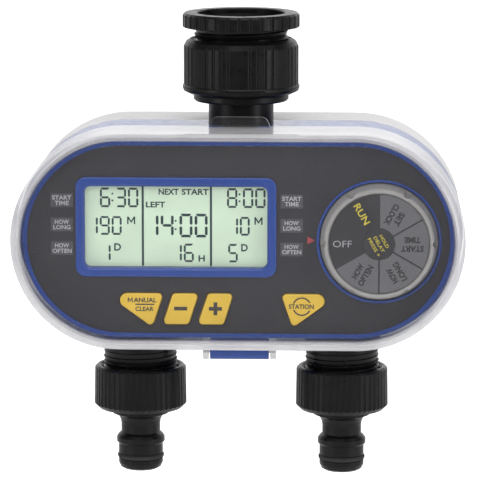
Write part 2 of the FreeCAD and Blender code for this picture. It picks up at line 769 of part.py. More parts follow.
def make_button(name):
    """Cap with a wider flange behind the panel and a stem that meets its switch."""
    corners = BUTTONS[name]
    placed = [(x, BODY_Z + z, radius) for x, z, radius in corners]
    front = PANEL_FRONT_Y - BUTTON_PROUD
    flange_front = PANEL_BACK_Y + REST_GAP
    cap = rounded_at(rounded_polygon(placed, front, flange_front + OVERLAP), front, BUTTON_EDGE)
    flange_back = flange_front + BUTTON_FLANGE_THICKNESS
    flange = rounded_polygon(placed, flange_front, flange_back, BUTTON_FLANGE)
    x, z = button_centre(corners)
    stem_end = BOARD_FRONT_Y - TACT_HEIGHT - BUTTON_TRAVEL - REST_GAP
    stem = rod_y(BUTTON_STEM_RADIUS, x, z, flange_front, stem_end)
    return fused(cap, flange, stem)


def make_dial_ring():
    """Blue trim ring pressed into the dial's well."""
    front = PANEL_FRONT_Y - RING_PROUD
    back = PANEL_FRONT_Y + DIAL_WELL_DEPTH
    ring = tube_y(RING_RADIUS, RING_RADIUS - RING_WIDTH, DIAL_X, DIAL_Z, front, back)
    return rounded_at(ring, front, RING_EDGE)


def make_dial_knob():
    """Dished knob with a notched rim; its hub carries the shaft's socket."""
    rim_front = KNOB_FRONT_Y
    floor = rim_front + KNOB_DISH
    profile = [
        (SHAFT_RADIUS, floor),
        (LABEL_RADIUS, floor),
        (LABEL_RADIUS + KNOB_LIP / 2, rim_front + KNOB_LIP / 2),
        (LABEL_RADIUS + KNOB_LIP, rim_front),
        (KNOB_FACE_RADIUS - KNOB_BEVEL, rim_front),
        (KNOB_FACE_RADIUS, rim_front + KNOB_BEVEL),
        (KNOB_BASE_RADIUS, KNOB_BACK_Y - KNOB_BEVEL),
        (KNOB_BASE_RADIUS, KNOB_BACK_Y),
        (SHAFT_RADIUS, KNOB_BACK_Y),
    ]
    knob = turned_y(profile, DIAL_X, DIAL_Z)
    cutters = []
    for step in range(DIAL_POSITIONS):
        angle = math.radians(step * 360 / DIAL_POSITIONS)
        x = DIAL_X + (KNOB_BASE_RADIUS - NOTCH_INSET) * math.cos(angle)
        z = DIAL_Z + (KNOB_BASE_RADIUS - NOTCH_INSET) * math.sin(angle)
        cutters.append(rod_y(NOTCH_RADIUS, x, z, rim_front - OVERLAP, KNOB_BACK_Y - NOTCH_FLOOR))
    return knob.cut(cutters)


def make_dial_label():
    """Printed disc glued into the knob's dish."""
    back = KNOB_FRONT_Y + KNOB_DISH
    return rod_y(LABEL_RADIUS - REST_GAP, DIAL_X, DIAL_Z, back - LABEL_THICKNESS, back)


def make_dial_hub_cap():
    front = KNOB_FRONT_Y + KNOB_DISH - LABEL_THICKNESS - HUB_CAP_HEIGHT
    cap = rod_y(HUB_CAP_RADIUS, DIAL_X, DIAL_Z, front, front + HUB_CAP_HEIGHT)
    return rounded_at(cap, front, HUB_CAP_EDGE)


def make_dial_shaft():
    """Round shaft from the knob's hub through the panel into the rotary switch."""
    return rod_y(SHAFT_RADIUS, DIAL_X, DIAL_Z, KNOB_FRONT_Y + KNOB_DISH, SHAFT_BACK_Y)


def make_rotary_switch():
    """Six-way switch in front of the circuit board, turned by the dial's shaft."""
    side = ROTARY_SIDE
    body = rounded_block(side, side, ROTARY_CORNER, DIAL_X, DIAL_Z, ROTARY_FRONT_Y, BOARD_FRONT_Y)
    radius = SHAFT_RADIUS + RUNNING_CLEARANCE
    socket = rod_y(radius, DIAL_X, DIAL_Z, ROTARY_FRONT_Y - OVERLAP, SHAFT_BACK_Y + REST_GAP)
    return body.cut(socket)


def make_front_cover():
    """Clear cover: a shallow stadium tray with a finger tab above and two hinge ears below."""
    outer = stadium(COVER_LENGTH, COVER_HEIGHT, COVER_FRONT_Y, COVER_BACK_Y)
    outer = rounded_at(outer, COVER_FRONT_Y, COVER_FILLET)
    inner_front = COVER_FRONT_Y + COVER_WALL
    inner = stadium(
        COVER_LENGTH - 2 * COVER_WALL, COVER_HEIGHT - 2 * COVER_WALL, inner_front, COVER_BACK_Y + OVERLAP
    )
    inner = rounded_at(inner, inner_front, COVER_FILLET - COVER_WALL)
    top = BODY_Z + COVER_HEIGHT / 2
    tab_corners = [
        (-TAB_BASE / 2, top - COVER_WALL / 2, TAB_FOOT_CORNER),
        (-TAB_TOP / 2, top + TAB_HEIGHT, TAB_CORNER),
        (TAB_TOP / 2, top + TAB_HEIGHT, TAB_CORNER),
        (TAB_BASE / 2, top - COVER_WALL / 2, TAB_FOOT_CORNER),
    ]
    tab = rounded_polygon(tab_corners, TAB_FRONT_Y, TAB_FRONT_Y + TAB_THICKNESS)
    bottom = BODY_Z - COVER_HEIGHT / 2
    cover = outer.cut(inner)
    notch_half = KNUCKLE_HALF + EAR_GAP
    notch_top = bottom + COVER_WALL + OVERLAP
    notch = block(-notch_half, notch_half, HINGE_Y - NOTCH_DEPTH, 0, bottom - OVERLAP, notch_top)
    cover = cover.cut(notch)
    ears = []
    for side in (-1, 1):
        x_low = min(side * notch_half, side * (notch_half + EAR_WIDTH))
        ear = rod_x(KNUCKLE_RADIUS, x_low, x_low + EAR_WIDTH, HINGE_Y, HINGE_Z)
        web = block(
            x_low,
            x_low + EAR_WIDTH,
            HINGE_Y - KNUCKLE_RADIUS,
            COVER_BACK_Y,
            HINGE_Z,
            bottom + COVER_WALL / 2,
        )
        ears.append(ear.fuse(web))
    cover = fused(cover, tab, *ears)
    reach = notch_half + EAR_WIDTH + OVERLAP
    pin_hole = rod_x(HINGE_PIN_RADIUS + RUNNING_CLEARANCE, -reach, reach, HINGE_Y, HINGE_Z)
    return cover.cut(pin_hole)


def make_hinge_pin():
    half = KNUCKLE_HALF + EAR_GAP + EAR_WIDTH
    return rod_x(HINGE_PIN_RADIUS, -half, half, HINGE_Y, HINGE_Z)


def gallery_rod(radius):
    """Cylinder along the cross gallery's axis, from one outlet's axis to the other's."""
    return rod_x(radius, -OUTLET_X, OUTLET_X, 0, GALLERY_Z)


def neck_bore():
    return rod_z(NECK_BORE, 0, 0, GALLERY_Z, 0)


def valve_body(side):
    """Outside of one valve chamber: an upright barrel with the valve's seat behind it."""
    x = side * OUTLET_X
    barrel = rod_z(CHAMBER_RADIUS, x, 0, SPIGOT_TOP_Z, CHAMBER_TOP_Z)
    return barrel.fuse(rod_y(VALVE_RADIUS, x, VALVE_Z, 0, VALVE_SEAT_Y))


def make_inlet_neck():
    """Pipe from the cross gallery up through the case, with the nut's shoulder and groove."""
    groove_radius = NECK_RADIUS - NECK_GROOVE_DEPTH
    neck = turned(
        [
            (0, GALLERY_Z),
            (NECK_RADIUS, GALLERY_Z),
            (NECK_RADIUS, SHOULDER_BOTTOM_Z),
            (SHOULDER_RADIUS - SHOULDER_BEVEL, SHOULDER_BOTTOM_Z),
            (SHOULDER_RADIUS, SHOULDER_BOTTOM_Z + SHOULDER_BEVEL),
            (SHOULDER_RADIUS, SHOULDER_TOP_Z),
            (NECK_RADIUS, SHOULDER_TOP_Z),
            (NECK_RADIUS, NECK_GROOVE_LOW_Z),
            (groove_radius, NECK_GROOVE_LOW_Z),
            (groove_radius, NECK_GROOVE_TOP_Z),
            (NECK_RADIUS, NECK_GROOVE_TOP_Z),
            (NECK_RADIUS, NECK_TOP_Z),
            (0, NECK_TOP_Z),
        ]
    )
    return neck.cut([gallery_rod(GALLERY_RADIUS), neck_bore()])


def make_cross_gallery():
    """Pipe between the two valve chambers, open into the neck above its middle."""
    bore = gallery_rod(GALLERY_RADIUS - GALLERY_WALL)
    return gallery_rod(GALLERY_RADIUS).cut([bore, neck_bore(), valve_body(-1), valve_body(1)])


def make_valve_chamber(side):
    """Chamber fed from the gallery at its top, closed by a diaphragm at its valve's seat."""
    x = side * OUTLET_X
    way_in = gallery_rod(GALLERY_RADIUS - GALLERY_WALL)
    way_down = rod_z(CHAMBER_BORE, x, 0, SPIGOT_TOP_Z - OVERLAP, GALLERY_Z)
    way_back = rod_y(VALVE_BORE, x, VALVE_Z, 0, VALVE_SEAT_Y + OVERLAP)
    return valve_body(side).cut([way_in, way_down, way_back])


def make_spigot(side):
    """Threaded outlet under one valve chamber, its neck passing through the case."""
    x = side * OUTLET_X
    collar_top = BODY_Z - CASE_HEIGHT / 2 - SPIGOT_COLLAR_DROP
    collar_bottom = collar_top - SPIGOT_COLLAR_HEIGHT
    spigot = rod_z(SPIGOT_NECK, x, 0, collar_top - OVERLAP, SPIGOT_TOP_Z)
    spigot = spigot.fuse(rod_z(SPIGOT_COLLAR, x, 0, collar_bottom, collar_top))
    spigot = spigot.fuse(male_thread(x, SPIGOT_END_Z, collar_bottom + OVERLAP, G34_MAJOR, G34_PITCH))
    return spigot.cut(rod_z(CHAMBER_BORE, x, 0, SPIGOT_END_Z - OVERLAP, SPIGOT_TOP_Z + OVERLAP))


def make_nut_retainer():
    """Ring snapped into the neck's groove, which keeps the swivel nut on."""
    groove_radius = NECK_RADIUS - NECK_GROOVE_DEPTH
    return tube_z(RETAINER_RADIUS, groove_radius, 0, 0, NECK_GROOVE_LOW_Z, NECK_GROOVE_TOP_Z)


def at_valves(make_one):
    """One solid for each valve, made by a function of the valve's x."""
    return Part.makeCompound([make_one(side * OUTLET_X) for side in (-1, 1)])


def make_valve_diaphragms():
    return at_valves(lambda x: rod_y(VALVE_RADIUS, x, VALVE_Z, VALVE_SEAT_Y, BONNET_FRONT_Y))


def make_valve_bonnets():
    def one(x):
        flange = rod_y(VALVE_RADIUS, x, VALVE_Z, BONNET_FRONT_Y, COIL_FRONT_Y)
        return flange.cut(rod_y(PLUNGER_BORE, x, VALVE_Z, BONNET_FRONT_Y - OVERLAP, COIL_FRONT_Y + OVERLAP))

    return at_valves(one)


def make_valve_coils():
    """Latching coils, each a bobbin with a blind bore for its plunger."""

    def one(x):
        coil = rod_y(COIL_RADIUS, x, VALVE_Z, COIL_FRONT_Y, COIL_BACK_Y)
        coil = rounded_at(coil, COIL_BACK_Y, COIL_EDGE)
        return coil.cut(rod_y(PLUNGER_BORE, x, VALVE_Z, COIL_FRONT_Y - OVERLAP, COIL_BACK_Y - COIL_END))

    return at_valves(one)


def make_plunger(side):
    """Steel core that lifts off the diaphragm's pilot hole by its stroke."""
    front = BONNET_FRONT_Y + PLUNGER_REST_GAP
    return rod_y(PLUNGER_RADIUS, side * OUTLET_X, VALVE_Z, front, front + PLUNGER_LENGTH)


def make_plunger_springs():
    """Light springs between each plunger and the closed end of its coil."""

    def one(x):
        helix = Part.makeHelix(SPRING_PITCH, SPRING_HEIGHT, SPRING_RADIUS)
        section = Part.Wire(Part.makeCircle(SPRING_WIRE_RADIUS, Vector(SPRING_RADIUS, 0, 0), ALONG_Y))
        spring = Part.Wire(helix.Edges).makePipeShell([section], True, True)
        spring.rotate(Vector(0, 0, 0), ALONG_X, -90)
        spring.translate(Vector(x, COIL_BACK_Y - COIL_END - SPRING_START, VALVE_Z))
        return spring

    return at_valves(one)


def make_battery_drawer():
    """Drawer and door in one moulding, with a finger ridge across the door."""
    door_front = CASE_BACK_Y - DOOR_THICKNESS / 2
    door_back = door_front + DOOR_THICKNESS
    door_corner = DOOR_CORNER - DRAWER_CLEARANCE
    door = rounded_block(DOOR_WIDTH, DOOR_HEIGHT, door_corner, 0, DRAWER_Z, door_front, door_back)
    door = rounded_at(door, door_back, DOOR_EDGE)
    drawer_front = CASE_BACK_Y - DRAWER_DEPTH
    tray_back = door_front + OVERLAP
    tray = rounded_block(DRAWER_WIDTH, DRAWER_HEIGHT, DRAWER_CORNER, 0, DRAWER_Z, drawer_front, tray_back)
    pocket = block(
        -DRAWER_WIDTH / 2 + DRAWER_WALL,
        DRAWER_WIDTH / 2 - DRAWER_WALL,
        drawer_front - OVERLAP,
        door_front - DRAWER_WALL,
        DRAWER_Z - DRAWER_HEIGHT / 2 + DRAWER_WALL,
        DRAWER_Z + DRAWER_HEIGHT / 2 - DRAWER_WALL,
    )
    ridge_z = DRAWER_Z + DOOR_HEIGHT / 2 - RIDGE_BELOW_EDGE
    ridge_front = door_back - OVERLAP
    ridge_back = door_back + RIDGE_PROUD
    ridge = rounded_block(RIDGE_LENGTH, RIDGE_HEIGHT, RIDGE_CORNER, 0, ridge_z, ridge_front, ridge_back)
    return fused(door, tray.cut(pocket), ridge).cut(make_drawer_seal())


def make_drawer_seal():
    """Rubber ring around the drawer, just inside the door."""
    front = CASE_BACK_Y - DOOR_THICKNESS / 2 - DRAWER_SEAL_SET_BACK
    back = front + DRAWER_SEAL_HEIGHT
    ring = rounded_block(DRAWER_WIDTH, DRAWER_HEIGHT, DRAWER_CORNER, 0, DRAWER_Z, front, back)
    width = DRAWER_WIDTH - 2 * DRAWER_SEAL_WIDTH
    height = DRAWER_HEIGHT - 2 * DRAWER_SEAL_WIDTH
    corner = DRAWER_CORNER - DRAWER_SEAL_WIDTH
    core = rounded_block(width, height, corner, 0, DRAWER_Z, front - OVERLAP, back + OVERLAP)
    return ring.cut(core)


def make_cells():
    """Two AA cells side by side, each with its positive button."""
    cells = []
    low = DRAWER_Z - CELL_LENGTH / 2
    high = DRAWER_Z + CELL_LENGTH / 2
    for side in (-1, 1):
        x = side * CELL_SPACING
        can = rod_z(CELL_RADIUS, x, CELL_Y, low, high)
        can = can.makeFillet(CELL_EDGE, [edge for edge in can.Edges if edge.BoundBox.ZLength < FLATNESS])
        button_low = high if side > 0 else low - CELL_BUTTON_HEIGHT
        button = rod_z(CELL_BUTTON_RADIUS, x, CELL_Y, button_low, button_low + CELL_BUTTON_HEIGHT)
        cells.append(can.fuse(button))
    return Part.makeCompound(cells)


def make_battery_contacts():
    """Sprung end plates at the top and bottom of the drawer."""
    front = CELL_Y - CONTACT_HALF
    back = CELL_Y + CONTACT_HALF
    plates = []
    for end in (-1, 1):
        wall = DRAWER_Z + end * (DRAWER_HEIGHT / 2 - DRAWER_WALL)
        low = min(wall, wall - end * CONTACT_THICKNESS)
        for side in (-1, 1):
            left = side * CELL_SPACING - CONTACT_HALF
            right = side * CELL_SPACING + CONTACT_HALF
            plates.append(block(left, right, front, back, low, low + CONTACT_THICKNESS))
    return Part.makeCompound(plates)


def make_case_screws():
    """Six screws from the back, through the rear shell into the housing's pillars."""
    screws = []
    for x, z in SCREW_PLACES:
        screws.append(
            screw(
                x,
                z,
                SCREW_RADIUS,
                SCREW_TIP_Y,
                SCREW_HEAD_RADIUS,
                SCREW_SEAT_Y,
                SCREW_HEAD_DEPTH,
                SCREW_HEAD_EDGE,
            )
        )
    return Part.makeCompound(screws)


def make_inlet_adaptor():
    """Thread reducer: tap thread inside its grooved rim, nut thread outside."""
    rim_bottom = RIM_TOP_Z - RIM_HEIGHT
    rim = turned(
        [
            (0, rim_bottom),
            (ADAPTOR_RADIUS - RIM_LOW_BEVEL, rim_bottom),
            (ADAPTOR_RADIUS, rim_bottom + RIM_LOW_BEVEL),
            (ADAPTOR_RADIUS, RIM_TOP_Z - RIM_BEVEL),
            (ADAPTOR_RADIUS - RIM_BEVEL, RIM_TOP_Z),
            (0, RIM_TOP_Z),
        ]
    )
    groove_x = ADAPTOR_RADIUS + ADAPTOR_GROOVE_OFFSET
    groove = rod_z(ADAPTOR_GROOVE_RADIUS, groove_x, 0, rim_bottom - OVERLAP, RIM_TOP_Z + OVERLAP)
    angles = [step * 360 / ADAPTOR_GROOVES for step in range(ADAPTOR_GROOVES)]
    rim = rim.cut(spread(groove, angles))
    thread = male_thread(0, ADAPTOR_END_Z, rim_bottom + OVERLAP, G1_MAJOR, G1_PITCH)
    hollow = turned(
        [
            (0, RIM_TOP_Z + OVERLAP),
            (MOUTH_RADIUS + MOUTH_BEVEL, RIM_TOP_Z + OVERLAP),
            (MOUTH_RADIUS + MOUTH_BEVEL, RIM_TOP_Z),
            (MOUTH_RADIUS, RIM_TOP_Z - MOUTH_BEVEL),
            (MOUTH_RADIUS, MOUTH_SLOPE),
            (TAP_BORE_RADIUS, 0),
            (TAP_BORE_RADIUS, -TAP_BORE_LENGTH),
            (WASHER_SEAT_RADIUS, -TAP_BORE_LENGTH),
            (WASHER_SEAT_RADIUS, -TAP_BORE_LENGTH - WASHER_THICKNESS),
            (ADAPTOR_WATERWAY, -TAP_BORE_LENGTH - WASHER_THICKNESS),
            (ADAPTOR_WATERWAY, ADAPTOR_END_Z - OVERLAP),
            (0, ADAPTOR_END_Z - OVERLAP),
        ]
    )
    return rim.fuse(thread).cut(hollow)


def make_tap_washer():
    """Flat washer that the tap's end seals against."""
    outer = WASHER_SEAT_RADIUS - WASHER_EDGE_GAP
    high = -TAP_BORE_LENGTH - REST_GAP
    low = -TAP_BORE_LENGTH - WASHER_THICKNESS + REST_GAP
    return tube_z(outer, ADAPTOR_WATERWAY, 0, 0, low, high)


def make_inlet_filter():
    """Mesh cup in the neck, hung from the nut's washer."""
    outer = NECK_BORE - FILTER_GAP
    inner = outer - FILTER_WALL
    low = NECK_TOP_Z - FILTER_DEPTH
    high = NECK_TOP_Z + FILTER_RIM_HEIGHT / 2
    rim_top = NECK_TOP_Z + FILTER_RIM_HEIGHT
    rim = tube_z(FILTER_RIM_RADIUS, inner + FILTER_WALL / 2, 0, 0, NECK_TOP_Z, rim_top)
    cup = turned(
        [
            (0, low),
            (FILTER_TIP_RADIUS, low),
            (outer, high),
            (inner, high),
            (FILTER_TIP_RADIUS - FILTER_WALL, low + FILTER_WALL),
            (0, low + FILTER_WALL),
        ]
    )
    return rim.fuse(cup)


def make_inlet_washer():
    """Rubber washer between the adaptor's end and the top of the neck."""
    return tube_z(INLET_WASHER_RADIUS, INLET_WASHER_HOLE, 0, 0, NECK_TOP_Z, NECK_TOP_Z + WASHER_THICKNESS)


def make_inlet_nut():
    """Swivel nut: ribs in groups between wide flats, over a plain collar."""
    ribbed_radius = NUT_RADIUS - NUT_COLLAR_PROUD
    ribs_low = NUT_RIB_END_Z + NUT_COLLAR_BAND
    body = turned(
        [
            (0, NUT_BOTTOM_Z),
            (NUT_RADIUS - NUT_FOOT_INSET, NUT_BOTTOM_Z),
            (ribbed_radius, NUT_BOTTOM_Z + NUT_FOOT_BEVEL),
            (NUT_RADIUS, NUT_RIB_END_Z - NUT_COLLAR_BAND),
            (NUT_RADIUS, NUT_RIB_END_Z + NUT_COLLAR_PROUD / 2),
            (ribbed_radius, ribs_low),
            (ribbed_radius, NUT_TOP_Z - NUT_SHOULDER_INSET),
            (NUT_RADIUS - NUT_SHOULDER_INSET / 2, NUT_TOP_Z - NUT_SHOULDER_INSET / 3),
            (NUT_RADIUS - NUT_SHOULDER_INSET, NUT_TOP_Z),
            (0, NUT_TOP_Z),
        ]
    )
    groove = rod_z(NUT_GROOVE_RADIUS, NUT_RADIUS + NUT_GROOVE_OFFSET, 0, ribs_low, NUT_TOP_Z + OVERLAP)
    angles = []
    for group in range(NUT_GROUPS):
        for step in range(NUT_GROOVES_PER_GROUP):
            offset = (step - (NUT_GROOVES_PER_GROUP - 1) / 2) * NUT_GROOVE_STEP
            angles.append((group + 0.5) * 360 / NUT_GROUPS + offset - 90)
    body = body.cut(spread(groove, angles))
    bore = G1_MAJOR + FEMALE_CLEARANCE
    hollow = turned(
        [
            (0, NUT_TOP_Z + OVERLAP),
            (bore + LEAD_IN, NUT_TOP_Z + OVERLAP),
            (bore + LEAD_IN, NUT_TOP_Z - LEAD_IN / 2),
            (bore, NUT_TOP_Z - 1.5 * LEAD_IN),
            (bore, NUT_LIP_TOP_Z),
            (NECK_RADIUS + FEMALE_CLEARANCE, NUT_LIP_TOP_Z),
            (NECK_RADIUS + FEMALE_CLEARANCE, NUT_BOTTOM_Z - OVERLAP),
            (0, NUT_BOTTOM_Z - OVERLAP),
        ]
    )
    return body.cut(hollow)


def make_outlet_adaptor(side):
    """Ribbed nut with a click nipple below it, in one moulding."""
    x = side * OUTLET_X
    top_radius = OUTLET_NUT_RADIUS - OUTLET_NUT_TAPER
    nut = turned(
        [
            (0, OUTLET_NUT_BOTTOM_Z),
            (OUTLET_NUT_RADIUS - OUTLET_NUT_FOOT, OUTLET_NUT_BOTTOM_Z),
            (OUTLET_NUT_RADIUS, OUTLET_NUT_BOTTOM_Z + OUTLET_NUT_FOOT),
            (top_radius, OUTLET_NUT_TOP_Z - OUTLET_NUT_BEVEL),
            (top_radius - OUTLET_NUT_BEVEL, OUTLET_NUT_TOP_Z),
            (0, OUTLET_NUT_TOP_Z),
        ],
        x,
    )
    groove_x = x + OUTLET_NUT_RADIUS + OUTLET_GROOVE_OFFSET
    low = OUTLET_NUT_BOTTOM_Z - OVERLAP
    groove = rod_z(OUTLET_GROOVE_RADIUS, groove_x, 0, low, OUTLET_NUT_TOP_Z + OVERLAP)
    angles = [step * 360 / OUTLET_NUT_RIBS for step in range(OUTLET_NUT_RIBS)]
    nut = nut.cut(spread(groove, angles, x))
    flange_low = NIPPLE_FLANGE_Z - NIPPLE_FLANGE_HALF
    flange_high = NIPPLE_FLANGE_Z + NIPPLE_FLANGE_HALF
    flare = []
    for step in range(FLARE_STEPS + 1):
        angle = math.radians(90 * step / FLARE_STEPS)
        out = (NIPPLE_COLLAR_RADIUS - NIPPLE_NECK_RADIUS) * (1 - math.cos(angle))
        flare.append((NIPPLE_NECK_RADIUS + out, NIPPLE_COLLAR_Z - NIPPLE_FLARE * (1 - math.sin(angle))))
    nipple = turned(
        [
            (0, NIPPLE_TIP_Z),
            (NIPPLE_BARREL_RADIUS - NIPPLE_TIP_INSET, NIPPLE_TIP_Z),
            (NIPPLE_BARREL_RADIUS - NIPPLE_TIP_BEVEL, NIPPLE_TIP_Z + NIPPLE_TIP_BEVEL),
            (NIPPLE_BARREL_RADIUS, NIPPLE_TIP_Z + NIPPLE_LEAD),
            (NIPPLE_BARREL_RADIUS, NIPPLE_SEAL_Z - SEAL_GROOVE_HALF),
            (NIPPLE_BARREL_RADIUS - SEAL_GROOVE_DEPTH, NIPPLE_SEAL_Z - SEAL_GROOVE_HALF),
            (NIPPLE_BARREL_RADIUS - SEAL_GROOVE_DEPTH, NIPPLE_SEAL_Z + SEAL_GROOVE_HALF),
            (NIPPLE_BARREL_RADIUS, NIPPLE_SEAL_Z + SEAL_GROOVE_HALF),
            (NIPPLE_BARREL_RADIUS, flange_low - NIPPLE_FLANGE_BEVEL),
            (NIPPLE_FLANGE_RADIUS, flange_low),
            (NIPPLE_FLANGE_RADIUS, flange_high),
            (NIPPLE_FLANGE_RADIUS - NIPPLE_FLANGE_BEVEL, flange_high + 1.5 * NIPPLE_FLANGE_BEVEL),
            (NIPPLE_NECK_RADIUS, flange_high + 2.5 * NIPPLE_FLANGE_BEVEL),
        ]
        + flare
        + [
            (NIPPLE_COLLAR_RADIUS, OUTLET_NUT_BOTTOM_Z + OVERLAP),
            (0, OUTLET_NUT_BOTTOM_Z + OVERLAP),
        ],
        x,
    )
    bore = G34_MAJOR + FEMALE_CLEARANCE
    bore_end = SPIGOT_END_Z - WASHER_THICKNESS - REST_GAP
    hollow = turned(
        [
            (0, OUTLET_NUT_TOP_Z + OVERLAP),
            (bore + LEAD_IN, OUTLET_NUT_TOP_Z + OVERLAP),
            (bore + LEAD_IN, OUTLET_NUT_TOP_Z - LEAD_IN / 2),
            (bore, OUTLET_NUT_TOP_Z - 1.5 * LEAD_IN),
            (bore, bore_end),
            (NIPPLE_BORE, bore_end),
            (NIPPLE_BORE, NIPPLE_TIP_Z - OVERLAP),
            (0, NIPPLE_TIP_Z - OVERLAP),
        ],
        x,
    )
    return nut.fuse(nipple).cut(hollow)


def make_outlet_washer(side):
    low = SPIGOT_END_Z - WASHER_THICKNESS - REST_GAP
    return tube_z(G34_MAJOR, OUTLET_WASHER_HOLE, side * OUTLET_X, 0, low, low + WASHER_THICKNESS)


def make_nipple_seal(side):
    """O-ring in the nipple's groove."""
    middle = NIPPLE_BARREL_RADIUS - SEAL_GROOVE_DEPTH + SEAL_SECTION
    ring = Part.makeTorus(middle, SEAL_SECTION, Vector(0, 0, 0), ALONG_Z)
    ring.translate(Vector(side * OUTLET_X, 0, NIPPLE_SEAL_Z))
    return ring


NODES = {
    "front_housing": make_front_housing,
    "rear_shell": make_rear_shell,
    "housing_gasket": make_housing_gasket,
    "control_panel": make_control_panel,
    "display_frame": make_display_frame,
    "display_window": make_display_window,
    "display_glass": make_display_glass,
    "display_holder": make_display_holder,
    "circuit_board": make_circuit_board,
    "board_pegs": make_board_pegs,
    "board_screws": make_board_screws,
    "tact_switches": make_tact_switches,
    "rotary_switch": make_rotary_switch,
    "dial_ring": make_dial_ring,
    "dial_knob": make_dial_knob,
    "dial_label": make_dial_label,
    "dial_hub_cap": make_dial_hub_cap,
    "dial_shaft": make_dial_shaft,
    "front_cover": make_front_cover,
    "hinge_pin": make_hinge_pin,
    "inlet_neck": make_inlet_neck,
    "cross_gallery": make_cross_gallery,
    "valve_chamber_left": lambda: make_valve_chamber(-1),
    "valve_chamber_right": lambda: make_valve_chamber(1),
    "spigot_left": lambda: make_spigot(-1),
    "spigot_right": lambda: make_spigot(1),
    "valve_diaphragms": make_valve_diaphragms,
    "valve_bonnets": make_valve_bonnets,
    "valve_coils": make_valve_coils,
    "plunger_springs": make_plunger_springs,
    "battery_drawer": make_battery_drawer,
    "drawer_seal": make_drawer_seal,
    "cells": make_cells,
    "battery_contacts": make_battery_contacts,
    "case_screws": make_case_screws,
    "inlet_adaptor": make_inlet_adaptor,
    "tap_washer": make_tap_washer,
    "inlet_nut": make_inlet_nut,
    "nut_retainer": make_nut_retainer,
    "inlet_washer": make_inlet_washer,
    "inlet_filter": make_inlet_filter,
}
for button_name in BUTTONS:
    NODES[button_name] = lambda name=button_name: make_button(name)
for side_name, side_sign in (("left", -1), ("right", 1)):
    NODES[f"valve_plunger_{side_name}"] = lambda sign=side_sign: make_plunger(sign)
    NODES[f"outlet_adaptor_{side_name}"] = lambda sign=side_sign: make_outlet_adaptor(sign)
    NODES[f"outlet_washer_{side_name}"] = lambda sign=side_sign: make_outlet_washer(sign)
    NODES[f"nipple_seal_{side_name}"] = lambda sign=side_sign: make_nipple_seal(sign)

for node, make in NODES.items():
    shape = make()
    if not shape.isValid() or any(solid.Volume <= 0 for solid in shape.Solids):
        raise RuntimeError(f"{node} is not a valid solid")
    print(node, len(shape.Solids), "solid(s)", round(shape.Volume), "mm3")
    shape.exportStep(f"parts/{node}.step")
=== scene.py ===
# Studio scene of a two-outlet tap timer. Everything is in metres, in the part's own frame:
# +X to the right of the display, -Y towards the reader, +Z up.

import math

import bmesh
import bpy
from mathutils import Matrix, Vector


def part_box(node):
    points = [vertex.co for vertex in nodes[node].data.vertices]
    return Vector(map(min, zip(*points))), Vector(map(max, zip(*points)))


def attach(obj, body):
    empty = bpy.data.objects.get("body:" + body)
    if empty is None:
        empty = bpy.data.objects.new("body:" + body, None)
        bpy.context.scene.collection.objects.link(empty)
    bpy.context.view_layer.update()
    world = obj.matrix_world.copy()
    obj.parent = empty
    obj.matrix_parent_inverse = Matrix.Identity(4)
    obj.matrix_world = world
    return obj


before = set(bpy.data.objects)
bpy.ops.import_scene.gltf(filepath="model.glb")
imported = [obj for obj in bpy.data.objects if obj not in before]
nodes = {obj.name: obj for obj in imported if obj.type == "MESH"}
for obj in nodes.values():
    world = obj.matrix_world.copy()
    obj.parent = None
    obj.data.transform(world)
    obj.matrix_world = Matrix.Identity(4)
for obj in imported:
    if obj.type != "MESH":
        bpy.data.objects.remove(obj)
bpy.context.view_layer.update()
MM = 0.001


# ---------------------------------------------------------------- camera, light and floor

CAMERA_TARGET = Vector((-0.0004, 0.0, -0.0768))
CAMERA_DISTANCE = 1.2
CAMERA_AZIMUTH = math.radians(2.2)
CAMERA_ELEVATION = math.radians(9.3)
CAMERA_LENS = 257.0
CAMERA_REACH = 30.0

LIGHT_AIM = (0.0, 0.0, -0.07)
SOFTBOXES = [
    # name, place, width, height, power
    ("light_top", (0.1, -0.25, 1.3), 1.3, 1.0, 9.0),
    ("light_left", (-1.3, -0.9, 0.3), 0.5, 1.4, 7.0),
    ("light_right", (1.3, -0.7, 0.3), 0.6, 1.4, 9.0),
    ("light_front", (-0.2, -1.9, 1.1), 1.4, 0.9, 16.5),
]
WHITE_BEYOND = 1.05  # strength of the backdrop where the camera sees it
STUDIO_GREY = 0.12  # strength of the same backdrop as light on the object

FLOOR_Z = -0.26
FLOOR_HALF_WIDTH = 5.0
FLOOR_FRONT_Y = -0.8
FLOOR_COVE_Y = 2.6
FLOOR_COVE_RADIUS = 1.0
FLOOR_COVE_STEPS = 12
FLOOR_TOP_Z = 3.5
FLOOR_PAINT = (0.8, 0.8, 0.8, 1)
FLOOR_GLOW = (0.3, 0.95)  # at the floor, and from FLOOR_GLOW_TOP_Z up
FLOOR_GLOW_TOP_Z = 0.3
FLOOR_GLOW_SEEN = 0.85  # least glow where the camera sees the floor itself


def make_camera():
    data = bpy.data.cameras.new("camera")
    data.lens = CAMERA_LENS
    data.clip_end = CAMERA_REACH
    camera = bpy.data.objects.new("camera", data)
    level = math.cos(CAMERA_ELEVATION)
    back = Vector(
        (math.sin(CAMERA_AZIMUTH) * level, -math.cos(CAMERA_AZIMUTH) * level, math.sin(CAMERA_ELEVATION))
    )
    camera.location = CAMERA_TARGET + back * CAMERA_DISTANCE
    camera.rotation_euler = (-back).to_track_quat("-Z", "Y").to_euler()
    bpy.context.scene.collection.objects.link(camera)
    bpy.context.scene.camera = camera


